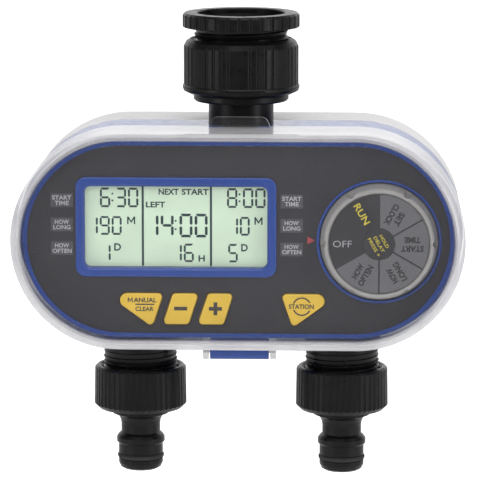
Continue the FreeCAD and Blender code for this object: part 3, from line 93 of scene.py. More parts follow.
def softbox(name, place, width, height, power):
    data = bpy.data.lights.new(name, "AREA")
    data.shape = "RECTANGLE"
    data.size = width
    data.size_y = height
    data.energy = power
    lamp = bpy.data.objects.new(name, data)
    lamp.location = place
    lamp.rotation_euler = (Vector(LIGHT_AIM) - Vector(place)).to_track_quat("-Z", "Y").to_euler()
    bpy.context.scene.collection.objects.link(lamp)


def make_lights():
    for box in SOFTBOXES:
        softbox(*box)


def make_world():
    """White where the camera looks past the object, and soft grey studio light elsewhere."""
    world = bpy.data.worlds.new("studio")
    bpy.context.scene.world = world
    world.use_nodes = True
    tree = world.node_tree
    tree.nodes.clear()
    seen = add_node(tree, "ShaderNodeBackground", {"Color": (1, 1, 1, 1), "Strength": WHITE_BEYOND})
    soft = add_node(tree, "ShaderNodeBackground", {"Color": (1, 1, 1, 1), "Strength": STUDIO_GREY})
    path = add_node(tree, "ShaderNodeLightPath")
    direct = add_node(tree, "ShaderNodeMath", operation="MAXIMUM")
    mix = add_node(tree, "ShaderNodeMixShader")
    output = add_node(tree, "ShaderNodeOutputWorld")
    tree.links.new(path.outputs["Is Camera Ray"], direct.inputs[0])
    tree.links.new(path.outputs["Is Transmission Ray"], direct.inputs[1])
    tree.links.new(direct.outputs[0], mix.inputs[0])
    tree.links.new(soft.outputs[0], mix.inputs[1])
    tree.links.new(seen.outputs[0], mix.inputs[2])
    tree.links.new(mix.outputs[0], output.inputs["Surface"])


def make_floor():
    """Pale floor that sweeps up into a bright backdrop behind the object."""
    profile = [(FLOOR_FRONT_Y, FLOOR_Z)]
    for i in range(FLOOR_COVE_STEPS + 1):
        angle = math.pi / 2 * i / FLOOR_COVE_STEPS
        y = FLOOR_COVE_Y + FLOOR_COVE_RADIUS * math.sin(angle)
        z = FLOOR_Z + FLOOR_COVE_RADIUS * (1 - math.cos(angle))
        profile.append((y, z))
    profile.append((FLOOR_COVE_Y + FLOOR_COVE_RADIUS, FLOOR_TOP_Z))
    vertices = [(side * FLOOR_HALF_WIDTH, y, z) for y, z in profile for side in (-1, 1)]
    faces = [(2 * i, 2 * i + 1, 2 * i + 3, 2 * i + 2) for i in range(len(profile) - 1)]
    floor = mesh_object("floor", vertices, faces)
    material, tree, shader = new_material("floor_pale")
    shader.inputs["Base Color"].default_value = FLOOR_PAINT
    shader.inputs["Roughness"].default_value = 0.9
    shader.inputs["Emission Color"].default_value = (1, 1, 1, 1)
    coordinates = add_node(tree, "ShaderNodeTexCoord")
    height = add_node(tree, "ShaderNodeSeparateXYZ")
    tree.links.new(coordinates.outputs["Object"], height.inputs[0])
    glow = spread_out(tree, height.outputs["Z"], *FLOOR_GLOW, FLOOR_Z, FLOOR_GLOW_TOP_Z)
    path = add_node(tree, "ShaderNodeLightPath")
    seen = add_node(tree, "ShaderNodeMath", {1: FLOOR_GLOW_SEEN}, operation="MULTIPLY")
    tree.links.new(path.outputs["Is Camera Ray"], seen.inputs[0])
    strength = add_node(tree, "ShaderNodeMath", operation="MAXIMUM")
    tree.links.new(glow, strength.inputs[0])
    tree.links.new(seen.outputs[0], strength.inputs[1])
    tree.links.new(strength.outputs[0], shader.inputs["Emission Strength"])
    floor.data.materials.append(material)


# ---------------------------------------------------------------- materials


def linear(red, green, blue):
    """Linear RGBA of an 8-bit colour."""
    channels = []
    for value in (red, green, blue):
        share = value / 255
        channels.append(share / 12.92 if share <= 0.04045 else ((share + 0.055) / 1.055) ** 2.4)
    return (*channels, 1.0)


def scaled(colour, factor):
    return (*(min(1.0, channel * factor) for channel in colour[:3]), 1.0)


def add_node(tree, kind, values=None, **settings):
    made = tree.nodes.new(kind)
    for key, value in settings.items():
        setattr(made, key, value)
    for key, value in (values or {}).items():
        made.inputs[key].default_value = value
    return made


def new_material(name):
    material = bpy.data.materials.new(name)
    material.use_nodes = True
    tree = material.node_tree
    return material, tree, tree.nodes["Principled BSDF"]


def noise(tree, size, detail=3.0):
    """Noise whose features are about size metres across, fixed to the object."""
    coordinates = add_node(tree, "ShaderNodeTexCoord")
    made = add_node(tree, "ShaderNodeTexNoise", {"Scale": 1 / size, "Detail": detail})
    tree.links.new(coordinates.outputs["Object"], made.inputs["Vector"])
    return made.outputs["Fac"]


def spread_out(tree, value, low, high, from_low=0.35, from_high=0.65):
    """The value's range from_low..from_high mapped to low..high and held there beyond it."""
    made = add_node(
        tree,
        "ShaderNodeMapRange",
        {"From Min": from_low, "From Max": from_high, "To Min": low, "To Max": high},
    )
    tree.links.new(value, made.inputs["Value"])
    return made.outputs["Result"]


def blended(tree, factor, first, second):
    """Colour between two fixed colours, or from a linked colour towards a fixed one."""
    mix = add_node(tree, "ShaderNodeMix", data_type="RGBA")
    tree.links.new(factor, mix.inputs["Factor"])
    for socket, colour in ((6, first), (7, second)):
        if isinstance(colour, tuple):
            mix.inputs[socket].default_value = colour
        else:
            tree.links.new(colour, mix.inputs[socket])
    return mix.outputs[2]


BEVEL_SAMPLES = 4
EDGE_FACING = (0.7, 0.98)  # agreement of the rounded and the plain normal, from edge with painted highlight to flat face
# painted highlight: how much lighter the base colour turns along rounded edges
EDGE_HIGHLIGHT_LIGHTER = 1.7


def moulded(
    name,
    colour,
    roughness=0.42,
    mottle=0.05,
    grain=0.2,
    grain_size=0.35 * MM,
    edge_radius=0.18 * MM,
    edge_highlight=0.25,
    specular=0.5,
    uneven=0.07,
):
    """Moulded plastic or rubber: uneven tone, spark-eroded grain, softened edges with a painted
    highlight along them.
    """
    material, tree, shader = new_material(name)
    tone = spread_out(tree, noise(tree, 9 * MM), 0.0, 1.0)
    body = blended(tree, tone, scaled(colour, 1 - mottle), scaled(colour, 1 + mottle))
    rounding = add_node(tree, "ShaderNodeBevel", {"Radius": edge_radius}, samples=BEVEL_SAMPLES)
    surface = add_node(tree, "ShaderNodeNewGeometry")
    facing = add_node(tree, "ShaderNodeVectorMath", operation="DOT_PRODUCT")
    tree.links.new(rounding.outputs[0], facing.inputs[0])
    tree.links.new(surface.outputs["Normal"], facing.inputs[1])
    # Painted edge highlight: the base colour lightens where the rounded normal parts from the plain one.
    edge = spread_out(tree, facing.outputs["Value"], edge_highlight, 0.0, *EDGE_FACING)
    edge_lit = blended(tree, edge, body, scaled(colour, EDGE_HIGHLIGHT_LIGHTER))
    tree.links.new(edge_lit, shader.inputs["Base Color"])
    polish = spread_out(tree, noise(tree, 3.5 * MM, 5.0), roughness - uneven, roughness + uneven)
    tree.links.new(polish, shader.inputs["Roughness"])
    shader.inputs["Specular IOR Level"].default_value = specular
    bump = add_node(tree, "ShaderNodeBump", {"Strength": grain, "Distance": 0.03 * MM})
    tree.links.new(noise(tree, grain_size, 2.0), bump.inputs["Height"])
    tree.links.new(rounding.outputs[0], bump.inputs["Normal"])
    tree.links.new(bump.outputs[0], shader.inputs["Normal"])
    return material


def metal(name, colour, roughness=0.3):
    """Plated metal with a patchy tone and fine scuffs."""
    material, tree, shader = new_material(name)
    shader.inputs["Metallic"].default_value = 1.0
    tone = spread_out(tree, noise(tree, 2 * MM), 0.0, 1.0)
    body = blended(tree, tone, scaled(colour, 0.85), scaled(colour, 1.1))
    tree.links.new(body, shader.inputs["Base Color"])
    polish = spread_out(tree, noise(tree, 0.6 * MM, 4.0), roughness - 0.1, roughness + 0.12)
    tree.links.new(polish, shader.inputs["Roughness"])
    bump = add_node(tree, "ShaderNodeBump", {"Strength": 0.15, "Distance": 0.02 * MM})
    tree.links.new(noise(tree, 0.25 * MM), bump.inputs["Height"])
    tree.links.new(bump.outputs[0], shader.inputs["Normal"])
    return material


# The clear direction points towards the camera, tilted up; walls turned away from it get a painted
# reflection of the bright backdrop.
CLEAR_TILT = math.radians(12)
CLEAR_DIRECTION = (0.0, -math.cos(CLEAR_TILT), math.sin(CLEAR_TILT))
UPRIGHT_SHARE = 0.6  # fillets above and below stay clear further round than those at the ends
CLEAR_WITHIN = 0.943  # cosine of the surface's angle from the clear direction, where the painted glare begins
GLARE_FULL_BEYOND = 0.863  # and where it is full
# Whitish colour of the painted glare, a painted reflection of the backdrop on slanted walls, uneven in
# patches.
GLARE_DIM = linear(216, 215, 218)
GLARE_BRIGHT = linear(229, 228, 230)
CLEAR_IOR = 1.7
LUG_BLEND = 0.4 * MM
SLANT_FULL = 0.6
NOWHERE = -1.0  # lower than any part of the object


def clear(name, tint, haze_and_glare, wall_glare, slant_glare, roughness, solid_below=NOWHERE):
    """Clear moulding: faces near the clear direction show what is behind; the rest turns whitish with a
    painted glare that stands for the backdrop's reflection, and the hinge lugs below solid_below are
    whitened the same way.
    """
    material, tree, shader = new_material(name)
    cloud = spread_out(tree, noise(tree, 12 * MM), 0.0, 1.0)
    glare_tint = blended(tree, cloud, GLARE_DIM, GLARE_BRIGHT)
    tree.links.new(glare_tint, shader.inputs["Base Color"])
    polish = spread_out(tree, noise(tree, 6 * MM, 4.0), 0.5 * roughness, 1.5 * roughness)
    tree.links.new(polish, shader.inputs["Roughness"])
    shader.inputs["IOR"].default_value = CLEAR_IOR
    coordinates = add_node(tree, "ShaderNodeTexCoord")
    flattening = (1.0, 1.0, UPRIGHT_SHARE)
    flattened = add_node(tree, "ShaderNodeVectorMath", {1: flattening}, operation="MULTIPLY")
    tree.links.new(coordinates.outputs["Normal"], flattened.inputs[0])
    direction = add_node(tree, "ShaderNodeVectorMath", operation="NORMALIZE")
    tree.links.new(flattened.outputs["Vector"], direction.inputs[0])
    facing = add_node(tree, "ShaderNodeVectorMath", {1: CLEAR_DIRECTION}, operation="DOT_PRODUCT")
    tree.links.new(direction.outputs["Vector"], facing.inputs[0])
    across = add_node(tree, "ShaderNodeMath", operation="ABSOLUTE")
    tree.links.new(facing.outputs["Value"], across.inputs[0])
    wall = spread_out(tree, across.outputs[0], 0.0, 1.0, CLEAR_WITHIN, GLARE_FULL_BEYOND)
    place = add_node(tree, "ShaderNodeSeparateXYZ")
    tree.links.new(coordinates.outputs["Object"], place.inputs[0])
    lug = spread_out(tree, place.outputs["Z"], 0.0, 1.0, solid_below, solid_below - LUG_BLEND)
    wall_glare_and_lug = add_node(tree, "ShaderNodeMath", operation="MAXIMUM")
    tree.links.new(wall, wall_glare_and_lug.inputs[0])
    tree.links.new(lug, wall_glare_and_lug.inputs[1])
    slant = add_node(tree, "ShaderNodeLayerWeight", {"Blend": 0.5})
    # Painted glare on the turned walls grows from its facing amount to its grazing amount as the surface
    # slants from the view, standing in for the backdrop's reflection.
    depth = spread_out(tree, slant.outputs["Facing"], wall_glare, slant_glare, 0.0, SLANT_FULL)
    # Share of the whitish layer: the turned walls' painted glare plus a small even amount on every face,
    # partly real haze and partly painted reflection.
    glare_share = add_node(tree, "ShaderNodeMath", operation="MULTIPLY_ADD")
    tree.links.new(wall_glare_and_lug.outputs[0], glare_share.inputs[0])
    tree.links.new(depth, glare_share.inputs[1])
    glare_share.inputs[2].default_value = haze_and_glare
    through = add_node(tree, "ShaderNodeBsdfTransparent", {"Color": tint})
    mix = add_node(tree, "ShaderNodeMixShader")
    tree.links.new(glare_share.outputs[0], mix.inputs[0])
    tree.links.new(through.outputs[0], mix.inputs[1])
    tree.links.new(shader.outputs[0], mix.inputs[2])
    tree.links.new(mix.outputs[0], tree.nodes["Material Output"].inputs["Surface"])
    return material


def liquid_crystal(name, colour):
    """Pale reflective film with fine dark specks, slow cloudiness and a faint painted glow."""
    material, tree, shader = new_material(name)
    cloud = spread_out(tree, noise(tree, 14 * MM), 0.0, 1.0)
    film = blended(tree, cloud, scaled(colour, 0.94), scaled(colour, 1.05))
    sparkle = spread_out(tree, noise(tree, 0.3 * MM, 1.0), 0.0, 0.10)
    tree.links.new(blended(tree, sparkle, film, scaled(colour, 0.6)), shader.inputs["Base Color"])
    # Painted glow: the film gives off a little light of its own colour, though nothing lights it from
    # behind.
    tree.links.new(film, shader.inputs["Emission Color"])
    shader.inputs["Emission Strength"].default_value = 0.16
    shader.inputs["Roughness"].default_value = 0.35
    shader.inputs["Specular IOR Level"].default_value = 0.25
    return material


def printed_ink(name, colour, roughness=0.55):
    """Pad-printed ink: slightly uneven cover and a dry surface."""
    material, tree, shader = new_material(name)
    cover = spread_out(tree, noise(tree, 0.4 * MM, 4.0), 0.0, 1.0)
    film = blended(tree, cover, scaled(colour, 0.88), scaled(colour, 1.06))
    tree.links.new(film, shader.inputs["Base Color"])
    polish = spread_out(tree, noise(tree, 1.2 * MM), roughness - 0.08, roughness + 0.08)
    tree.links.new(polish, shader.inputs["Roughness"])
    return material


def circuit_green(name):
    """Green lacquer, lighter where copper lies under it."""
    material, tree, shader = new_material(name)
    copper = spread_out(tree, noise(tree, 1.4 * MM, 0.0), 0.0, 1.0, 0.48, 0.52)
    lacquer = blended(tree, copper, linear(24, 92, 52), linear(36, 118, 66))
    tree.links.new(lacquer, shader.inputs["Base Color"])
    shader.inputs["Roughness"].default_value = 0.3
    return material


def mesh_fabric(name):
    """Fine square weave, as on a strainer."""
    material, tree, shader = new_material(name)
    threads = []
    for direction in ("X", "Z"):
        coordinates = add_node(tree, "ShaderNodeTexCoord")
        wave = add_node(tree, "ShaderNodeTexWave", {"Scale": 380.0}, bands_direction=direction)
        tree.links.new(coordinates.outputs["Object"], wave.inputs["Vector"])
        threads.append(wave.outputs["Fac"])
    weave = add_node(tree, "ShaderNodeMath", operation="MAXIMUM")
    tree.links.new(threads[0], weave.inputs[0])
    tree.links.new(threads[1], weave.inputs[1])
    holes = blended(tree, weave.outputs[0], linear(30, 32, 34), linear(205, 208, 205))
    tree.links.new(holes, shader.inputs["Base Color"])
    shader.inputs["Roughness"].default_value = 0.5
    bump = add_node(tree, "ShaderNodeBump", {"Strength": 0.8, "Distance": 0.15 * MM})
    tree.links.new(weave.outputs[0], bump.inputs["Height"])
    tree.links.new(bump.outputs[0], shader.inputs["Normal"])
    return material


BLUE = moulded(
    "blue_moulding", linear(30, 67, 147), 0.2, mottle=0.03, grain=0.02, edge_highlight=0.12, uneven=0.03
)
PALE = moulded("pale_moulding", linear(222, 220, 221), 0.45, mottle=0.02, edge_highlight=0.05)
PANEL = moulded(
    "panel_moulding", linear(46, 45, 50), 0.5, mottle=0.04, grain=0.3, edge_highlight=0.1, specular=0.25
)
BLACK = moulded(
    "black_moulding", linear(15, 15, 16), 0.33, mottle=0.15, grain=0.2, edge_highlight=0.2, specular=0.2
)
INNER = moulded("inner_moulding", linear(58, 60, 64), 0.5)
COIL = moulded("coil_moulding", linear(40, 44, 60), 0.4)
YELLOW = moulded("yellow_moulding", linear(229, 190, 62), 0.4, mottle=0.04, edge_highlight=0.15)
KNOB = moulded("knob_moulding", linear(157, 155, 152), 0.42, mottle=0.04, grain=0.25, edge_highlight=0.2)
RUBBER = moulded("rubber", linear(34, 33, 33), 0.75, mottle=0.12, grain=0.5, grain_size=0.2 * MM)
DIAL_DARK = moulded("dial_print_dark", linear(38, 38, 42), 0.45, mottle=0.03, grain=0.1, edge_highlight=0.0)
DIAL_MID = printed_ink("dial_print_mid", linear(98, 98, 101), 0.5)
CELL = moulded("cell_jacket", linear(52, 58, 72), 0.3)
STEEL = metal("steel", linear(190, 190, 186))
BOARD = circuit_green("solder_mask")
STRAINER = mesh_fabric("strainer_mesh")
LCD = liquid_crystal("liquid_crystal", linear(214, 232, 209))
WINDOW = clear(
    "window_clear", (0.98, 0.99, 0.98, 1), haze_and_glare=0.01, wall_glare=0.2, slant_glare=0.3, roughness=0.1
)
LUG_TOP_Z = -110.0 * MM  # the cover's hinge lugs hang below this height
COVER = clear(
    "cover_clear",
    (0.985, 0.985, 0.99, 1),
    haze_and_glare=0.022,
    wall_glare=0.5,
    slant_glare=0.8,
    roughness=0.08,
    solid_below=LUG_TOP_Z,
)
LCD_INK = printed_ink("lcd_segment", linear(0, 54, 60), 0.4)
PALE_INK = printed_ink("ink_pale", linear(174, 174, 177))
PATCH_INK = printed_ink("ink_patch", linear(70, 70, 74))
OFF_INK = printed_ink("ink_mid", linear(160, 160, 162))
DARK_INK = printed_ink("ink_dark", linear(58, 54, 50))
YELLOW_INK = printed_ink("ink_yellow", linear(206, 190, 52))
RED_INK = printed_ink("ink_red", linear(176, 60, 72))
GREY_INK = printed_ink("ink_grey", linear(34, 34, 37))

FINISHES = {
    BLUE: ["front_housing", "display_frame", "dial_ring"],
    PALE: ["rear_shell", "battery_drawer"],
    PANEL: ["control_panel"],
    BLACK: [
        "inlet_neck",
        "cross_gallery",
        "valve_chamber_left",
        "valve_chamber_right",
        "spigot_left",
        "spigot_right",
        "inlet_adaptor",
        "inlet_nut",
        "nut_retainer",
        "outlet_adaptor_left",
        "outlet_adaptor_right",
    ],
    INNER: ["display_holder", "board_pegs", "rotary_switch", "tact_switches", "valve_bonnets"],
    COIL: ["valve_coils"],
    YELLOW: ["button_manual", "button_minus", "button_plus", "button_station"],
    KNOB: ["dial_knob", "dial_shaft"],
    DIAL_DARK: ["dial_label", "dial_hub_cap"],
    RUBBER: [
        "housing_gasket",
        "valve_diaphragms",
        "drawer_seal",
        "tap_washer",
        "inlet_washer",
        "outlet_washer_left",
        "outlet_washer_right",
        "nipple_seal_left",
        "nipple_seal_right",
    ],
    STEEL: [
        "board_screws",
        "case_screws",
        "hinge_pin",
        "plunger_springs",
        "battery_contacts",
        "valve_plunger_left",
        "valve_plunger_right",
    ],
    CELL: ["cells"],
    BOARD: ["circuit_board"],
    STRAINER: ["inlet_filter"],
    LCD: ["display_glass"],
    WINDOW: ["display_window"],
    COVER: ["front_cover"],
}


def finish_cad_nodes():
    for material, names in FINISHES.items():
        for name in names:
            for place in nodes[name].material_slots:
                place.material = material


# ---------------------------------------------------------------- mesh helpers


def mesh_object(name, vertices, faces):
    mesh = bpy.data.meshes.new(name)
    mesh.from_pydata(vertices, [], faces)
    made = bpy.data.objects.new(name, mesh)
    bpy.context.scene.collection.objects.link(made)
    return made


class Print:
    """Ink lying on a face that looks along -Y, gathered into one piece."""

    THICKNESS = 0.03 * MM
    SUNK = 0.01 * MM

    def __init__(self, face_y):
        self.face_y = face_y
        self.mesh = bmesh.new()

    def shape(self, outline):
        """A filled outline of (x, z) points."""
        front = [self.mesh.verts.new((x, self.face_y - self.THICKNESS, z)) for x, z in outline]
        back = [self.mesh.verts.new((x, self.face_y + self.SUNK, z)) for x, z in outline]
        self.mesh.faces.new(front)
        self.mesh.faces.new(back[::-1])
        for i in range(len(outline)):
            j = (i + 1) % len(outline)
            self.mesh.faces.new((front[j], front[i], back[i], back[j]))

    def bar(self, x, z, width, height):
        half_width = width / 2
        half_height = height / 2
        self.shape(
            [
                (x - half_width, z - half_height),
                (x + half_width, z - half_height),
                (x + half_width, z + half_height),
                (x - half_width, z + half_height),
            ]
        )

    def sector(self, x, z, inner, outer, start, end, gap=0.0, step=math.radians(4)):
        """A ring sector about (x, z) whose straight sides stand back from the radii by gap."""
        count = max(2, math.ceil((end - start) / step))
        outline = []
        for radius, ordered in ((outer, range(count + 1)), (inner, range(count, -1, -1))):
            trim = math.asin(gap / radius)
            for i in ordered:
                angle = start + trim + (end - start - 2 * trim) * i / count
                outline.append((x + radius * math.cos(angle), z + radius * math.sin(angle)))
        self.shape(outline)

    def letter_m(self, x, z, cap, width, stroke):
        """The letter M, drawn as one outline because its inner corners are sharp."""
        armpit = 0.64 * cap
        vee_low = 0.12 * cap
        vee_high = 0.45 * cap
        outline = [
            (0, 0),
            (stroke, 0),
            (stroke, armpit),
            (width / 2, vee_low),
            (width - stroke, armpit),
            (width - stroke, 0),
            (width, 0),
            (width, cap),
            (width - stroke, cap),
            (width / 2, vee_high),
            (stroke, cap),
            (0, cap),
        ]
        self.shape([(x - width / 2 + across, z - cap / 2 + up) for across, up in outline])

    def words(self, text, x, z, cap, width=None, angle=0.0, weight=0.02):
        """Capitals of height cap centred on (x, z), turned by angle, squeezed to width if given."""
        curve = bpy.data.curves.new("letters", "FONT")
        curve.body = text
        curve.offset = weight
        curve.extrude = 0.5
        curve.resolution_u = 3
        letters = bpy.data.objects.new("letters", curve)
        mesh = bpy.data.meshes.new_from_object(letters)
        xs = [vertex.co.x for vertex in mesh.vertices]
        ys = [vertex.co.y for vertex in mesh.vertices]
        scale_up = cap / (max(ys) - min(ys))
        scale_across = width / (max(xs) - min(xs)) if width else scale_up
        centre = Vector(((max(xs) + min(xs)) / 2, (max(ys) + min(ys)) / 2, 0))
        depth = self.THICKNESS + self.SUNK
        size = Matrix.Diagonal((scale_across, scale_up, depth, 1))
        upright = Matrix(((1, 0, 0, 0), (0, 0, -1, 0), (0, 1, 0, 0), (0, 0, 0, 1)))
        place = Vector((x, self.face_y + self.SUNK - depth / 2, z))
        turn = Matrix.Rotation(-angle, 4, "Y")
        mesh.transform(Matrix.Translation(place) @ turn @ upright @ size @ Matrix.Translation(-centre))
        self.mesh.from_mesh(mesh)
        bpy.data.meshes.remove(mesh)
        bpy.data.objects.remove(letters)
        bpy.data.curves.remove(curve)

    def piece(self, name, material, body):
        bmesh.ops.recalc_face_normals(self.mesh, faces=self.mesh.faces)
        mesh = bpy.data.meshes.new(name)
        self.mesh.to_mesh(mesh)
        self.mesh.free()
        mesh.materials.append(material)
        made = bpy.data.objects.new(name, mesh)
        bpy.context.scene.collection.objects.link(made)
        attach(made, body)
        return made


# ---------------------------------------------------------------- display

SEGMENTS = {
    "0": "abcdef",
    "1": "bc",
    "3": "abcdg",
    "4": "bcfg",
    "5": "acdfg",
    "6": "acdefg",
    "8": "abcdefg",
    "9": "abcdfg",
}


def digit(ink, symbol, x_left, z_top, width, height, stroke):
    """A seven-segment figure whose strokes have mitred ends and small gaps between them."""
    gap = 0.16 * stroke
    half = stroke / 2
    point = 0.9 * half
    shoulder = 0.4 * half
    short_inset = 0.45 * stroke
    x_right = x_left + width
    z_bottom = z_top - height
    z_middle = (z_top + z_bottom) / 2

    def across(z, tilt):
        """Horizontal stroke; tilt is the side on which its ends are cut back more."""
        low_inset = stroke if tilt >= 0 else short_inset
        high_inset = stroke if tilt <= 0 else short_inset
        ink.shape(
            [
                (x_left + low_inset + gap, z - half),
                (x_right - low_inset - gap, z - half),
                (x_right - point - gap, z),
                (x_right - high_inset - gap, z + half),
                (x_left + high_inset + gap, z + half),
                (x_left + point + gap, z),
            ]
        )

    def upright(x, z_low, z_high):
        ink.shape(
            [
                (x - half, z_low + half),
                (x, z_low),
                (x + half, z_low + half),
                (x + half, z_high - half),
                (x, z_high),
                (x - half, z_high - half),
            ]
        )

    for segment in SEGMENTS[symbol]:
        if segment == "a":
            across(z_top - half, 1)
        elif segment == "g":
            across(z_middle, 0)
        elif segment == "d":
            across(z_bottom + half, -1)
        else:
            x = x_right - half if segment in "bc" else x_left + half
            if segment in "bf":
                upright(x, z_middle + shoulder, z_top - half - gap)
            else:
                upright(x, z_bottom + half + gap, z_middle - shoulder)


COLON_DOT = 0.6 * MM
COLON_HEIGHTS = (0.31, 0.66)  # down from the top, as shares of the figure's height
COLON_SHARE = 0.62  # of the space between two figures
COLON_INSET = 0.1 * MM
COLON_ADVANCE = 1.25 * MM


def number(ink, symbols, x_right, z_top, width, height, stroke, pitch):
    """Figures set leftwards from x_right; a colon takes a narrow place of its own."""
    x = x_right
    for symbol in reversed(symbols):
        if symbol == ":":
            dot_x = x - COLON_SHARE * (pitch - width) - COLON_INSET
            for share in COLON_HEIGHTS:
                ink.bar(dot_x, z_top - share * height, COLON_DOT, COLON_DOT)
            x -= COLON_ADVANCE
        else:
            digit(ink, symbol, x - width, z_top, width, height, stroke)
            x -= pitch


def make_display():
    """Segments, unit letters and dividers on the front of the liquid crystal cell."""
    low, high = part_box("display_window")
    centre_x = (low.x + high.x) / 2
    centre_z = (low.z + high.z) / 2
    ink = Print(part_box("display_glass")[0].y)
    divider_width = 0.75 * MM
    divider_height = high.z - low.z - 0.3 * MM
    for x in (-11.5, 11.9):
        ink.bar(centre_x + x * MM, centre_z, divider_width, divider_height)
    figures = [
        # symbols, right edge, top, figure width, height, stroke, pitch
        ("6:30", -13.0, 13.2, 3.55, 6.8, 0.72, 4.2),
        ("190", -18.75, 3.3, 3.45, 6.5, 0.70, 4.1),
        ("1", -22.6, -6.3, 3.3, 6.2, 0.68, 4.0),
        ("14:00", 10.75, 4.3, 4.45, 8.2, 0.92, 5.2),
        ("16", 6.0, -6.1, 3.45, 6.4, 0.70, 4.1),
        ("8:00", 30.6, 13.2, 3.55, 6.8, 0.72, 4.2),
        ("10", 25.2, 3.3, 3.4, 6.5, 0.70, 4.0),
        ("5", 21.1, -6.1, 3.3, 6.4, 0.70, 4.0),
    ]
    for symbols, right, top, *sizes in figures:
        sizes = [size * MM for size in sizes]
        number(ink, symbols, centre_x + right * MM, centre_z + top * MM, *sizes)
    letters = [
        # text, centre x, centre z, cap height, width, weight
        ("D", -20.2, -7.4, 2.6, 2.4, 0.03),
        ("NEXT", -2.6, 11.85, 2.1, 6.9, 0.03),
        ("START", 6.5, 11.85, 2.1, 9.3, 0.03),
        ("LEFT", -7.1, 7.4, 2.0, 6.6, 0.03),
        ("H", 8.7, -11.2, 2.2, 2.2, 0.03),
        ("D", 23.4, -7.4, 2.6, 2.3, 0.03),
    ]
    for text, x, z, cap, width, weight in letters:
        ink.words(text, centre_x + x * MM, centre_z + z * MM, cap * MM, width * MM, weight=weight)
    for x in (-15.5, 28.2):
        ink.letter_m(centre_x + x * MM, centre_z + 1.9 * MM, 2.6 * MM, 2.8 * MM, 0.5 * MM)
    ink.piece("display_segments", LCD_INK, "timer")


# ---------------------------------------------------------------- panel and key legends


LABEL_COLUMNS = (-60.4 * MM, 18.35 * MM)
LABEL_ROWS = [
    # height above the panel's middle, then each line's (text, width)
    (13.4, [("START", 6.6), ("TIME", 4.9)]),
    (5.0, [("HOW", 4.9), ("LONG", 5.9)]),
    (-3.2, [("HOW", 4.9), ("OFTEN", 6.6)]),
]
LABEL_CAP = 1.5 * MM
LABEL_LINE = 0.93  # from the label's middle to the middle of a line
PATCH_WIDTH = 7.7 * MM
PATCH_HEIGHT = 4.8 * MM
POINTER_TIP_X = 26.2 * MM
POINTER_LENGTH = 2.5 * MM
POINTER_HALF_WIDTH = 1.35 * MM


def make_panel_print():
    """Two columns of labels on paler patches, and the dial's pointer."""
    low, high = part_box("control_panel")
    centre_z = (low.z + high.z) / 2
    face_y = low.y
    labels = Print(face_y)
    patches = Print(face_y + labels.THICKNESS / 2)
    for x in LABEL_COLUMNS:
        for row, lines in LABEL_ROWS:
            patches.bar(x, centre_z + row * MM, PATCH_WIDTH, PATCH_HEIGHT)
            for (text, width), up in zip(lines, (LABEL_LINE, -LABEL_LINE)):
                z = centre_z + (row + up) * MM
                labels.words(text, x, z, LABEL_CAP, width * MM, weight=0.025)
    labels.piece("panel_labels", PALE_INK, "timer")
    patches.piece("panel_label_patches", PATCH_INK, "timer")
    arrow = Print(face_y)
    tail_x = POINTER_TIP_X - POINTER_LENGTH
    arrow.shape(
        [
            (tail_x, centre_z - POINTER_HALF_WIDTH),
            (POINTER_TIP_X, centre_z),
            (tail_x, centre_z + POINTER_HALF_WIDTH),
        ]
    )
    arrow.piece("panel_pointer", RED_INK, "timer")


SIGN_DROP = 23.8 * MM  # keys' signs, below the panel's middle
SIGN_ARM = 4.5 * MM
SIGN_STROKE = 1.3 * MM
STATION_X = 21.9 * MM
STATION_DROP = 22.85 * MM
STATION_RING = (2.75 * MM, 3.25 * MM)
STATION_ARCS = ((27, 160), (203, 332))


def make_key_legends():
    """Words on the two triangular keys, signs on the two between them."""
    low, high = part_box("control_panel")
    centre_z = (low.z + high.z) / 2
    face_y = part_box("button_minus")[0].y
    sign_z = centre_z - SIGN_DROP

    manual = Print(face_y)
    manual.letter_m(-37.0 * MM, centre_z - 20.9 * MM, 1.7 * MM, 1.75 * MM, 0.32 * MM)
    manual.words("ANUAL", -31.9 * MM, centre_z - 20.9 * MM, 1.7 * MM, 7.9 * MM, weight=0.03)
    manual.bar(-32.0 * MM, centre_z - 22.4 * MM, 6.5 * MM, 0.45 * MM)
    manual.words("CLEAR", -32.1 * MM, centre_z - 24.0 * MM, 1.6 * MM, 6.3 * MM, weight=0.03)
    manual.piece("legend_manual", DARK_INK, "manual_key")

    for name, body in (("minus", "minus_key"), ("plus", "plus_key")):
        key_low, key_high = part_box(f"button_{name}")
        x = (key_low.x + key_high.x) / 2
        sign = Print(face_y)
        sign.bar(x, sign_z, SIGN_ARM, SIGN_STROKE)
        if name == "plus":
            stub = (SIGN_ARM - SIGN_STROKE) / 2
            beyond = (SIGN_STROKE + stub) / 2
            for side in (-1, 1):
                sign.bar(x, sign_z + side * beyond, SIGN_STROKE, stub)
        sign.piece(f"legend_{name}", DARK_INK, body)

    station = Print(face_y)
    z = centre_z - STATION_DROP
    station.words("STATION", STATION_X - 0.2 * MM, z, 1.65 * MM, 8.6 * MM, weight=0.03)
    for start, end in STATION_ARCS:
        station.sector(STATION_X, z, *STATION_RING, math.radians(start), math.radians(end))
    station.piece("legend_station", DARK_INK, "station_key")


# ---------------------------------------------------------------- dial


SECTOR_SPAN = 60  # degrees
SECTOR_MARGIN = 0.1 * MM
SECTOR_GAP = 0.3 * MM
SECTOR_WORDS = [
    # angle, then each line's (text, width), then the radius of the words' middle
    (60, [("SET", 4.9), ("CLOCK", 8.0)], 10.9),
    (0, [("START", 7.8), ("TIME", 5.5)], 11.3),
    (-60, [("HOW", 5.5), ("LONG", 7.0)], 11.7),
    (-120, [("HOW", 5.5), ("OFTEN", 7.8)], 11.7),
]
SECTOR_CAP = 2.15 * MM
SECTOR_PITCH = 3.0 * MM
HUB_WORDS = [("HOLD", 5.0), ("DELAY", 6.0), ("PRESS +", 7.0)]
HUB_CAP = 1.15 * MM
HUB_PITCH = 2.0 * MM
HUB_TURN = math.radians(-60)


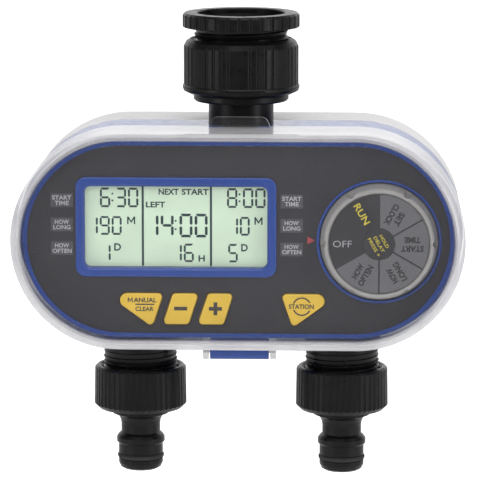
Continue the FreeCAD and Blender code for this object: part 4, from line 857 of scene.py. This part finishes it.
def make_dial_print():
    """Paler sectors for the four settings, their words, and the words on the hub's cap."""
    low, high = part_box("dial_label")
    x = (low.x + high.x) / 2
    z = (low.z + high.z) / 2
    face_y = low.y
    outer = (high.x - low.x) / 2 - SECTOR_MARGIN
    cap_low, cap_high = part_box("dial_hub_cap")
    inner = (cap_high.x - cap_low.x) / 2
    wedges = Print(face_y)
    for start in (-150, -90, -30, 30):
        end = start + SECTOR_SPAN
        wedges.sector(x, z, inner, outer, math.radians(start), math.radians(end), SECTOR_GAP)
    wedges.piece("dial_sectors", DIAL_MID, "dial")

    def label(ink, lines, angle, radius, cap, pitch, weight):
        """Lines of (text, width) read inwards from the rim, centred at radius on the sector."""
        turn = math.radians(angle - 180)
        centre_x = x + radius * math.cos(math.radians(angle))
        centre_z = z + radius * math.sin(math.radians(angle))
        for i, (text, width) in enumerate(lines):
            down = (i - (len(lines) - 1) / 2) * pitch
            ink.words(
                text,
                centre_x + down * math.sin(turn),
                centre_z - down * math.cos(turn),
                cap,
                width * MM,
                turn,
                weight,
            )

    printed_y = face_y - Print.THICKNESS
    dark = Print(printed_y)
    for angle, lines, radius in SECTOR_WORDS:
        label(dark, lines, angle, radius * MM, SECTOR_CAP, SECTOR_PITCH, 0.045)
    dark.piece("dial_words_dark", GREY_INK, "dial")

    pale = Print(face_y)
    label(pale, [("OFF", 6.4)], 180, 12.5 * MM, 2.3 * MM, 0.0, 0.0)
    pale.piece("dial_word_off", OFF_INK, "dial")

    yellow = Print(face_y)
    label(yellow, [("RUN", 7.6)], 120, 11.9 * MM, 2.4 * MM, 0.0, 0.015)
    yellow.piece("dial_word_run", YELLOW_INK, "dial")

    hub = Print(cap_low.y)
    for i, (text, width) in enumerate(HUB_WORDS):
        down = (i - 1) * HUB_PITCH
        word_x = x + down * math.sin(HUB_TURN)
        word_z = z - down * math.cos(HUB_TURN)
        hub.words(text, word_x, word_z, HUB_CAP, width * MM, HUB_TURN, 0.01)
    hub.piece("dial_words_hub", YELLOW_INK, "dial")


# ---------------------------------------------------------------- inlet


THREAD_WALL = 13.32 * MM
THREAD_CREST = 12.35 * MM
THREAD_PITCH = 1.814 * MM
THREAD_TOP_Z = -0.5 * MM
THREAD_TURNS = 3.6
THREAD_STEPS = 96  # in one turn
THREAD_FADE = 0.25 * THREAD_STEPS  # steps over which each end grows out of the wall
THREAD_ROOT_HALF = 0.42 * THREAD_PITCH
THREAD_CREST_HALF = 0.1 * THREAD_PITCH


def make_tap_thread():
    """The G 3/4 thread ridge on the wall of the adaptor's bore."""
    count = round(THREAD_TURNS * THREAD_STEPS)
    vertices = []
    for i in range(count + 1):
        angle = 2 * math.pi * i / THREAD_STEPS
        share = min(1.0, i / THREAD_FADE, (count - i) / THREAD_FADE)
        tip = THREAD_WALL + (THREAD_CREST - THREAD_WALL) * share
        z = THREAD_TOP_Z - THREAD_PITCH * i / THREAD_STEPS
        for radius, up in (
            (THREAD_WALL, THREAD_ROOT_HALF),
            (tip, THREAD_CREST_HALF),
            (tip, -THREAD_CREST_HALF),
            (THREAD_WALL, -THREAD_ROOT_HALF),
        ):
            vertices.append((radius * math.cos(angle), radius * math.sin(angle), z + up))
    faces = [(3, 2, 1, 0)]
    for i in range(count):
        for j in range(4):
            k = (j + 1) % 4
            faces.append((4 * i + j, 4 * i + k, 4 * i + 4 + k, 4 * i + 4 + j))
    last = 4 * count
    faces.append((last, last + 1, last + 2, last + 3))
    ridge = mesh_object("tap_thread", vertices, faces)
    ridge.data.materials.append(BLACK)
    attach(ridge, "tap_adaptor")


make_camera()
make_lights()
make_world()
make_floor()
finish_cad_nodes()
make_display()
make_panel_print()
make_key_legends()
make_dial_print()
make_tap_thread()

bpy.context.scene.view_settings.view_transform = "Standard"
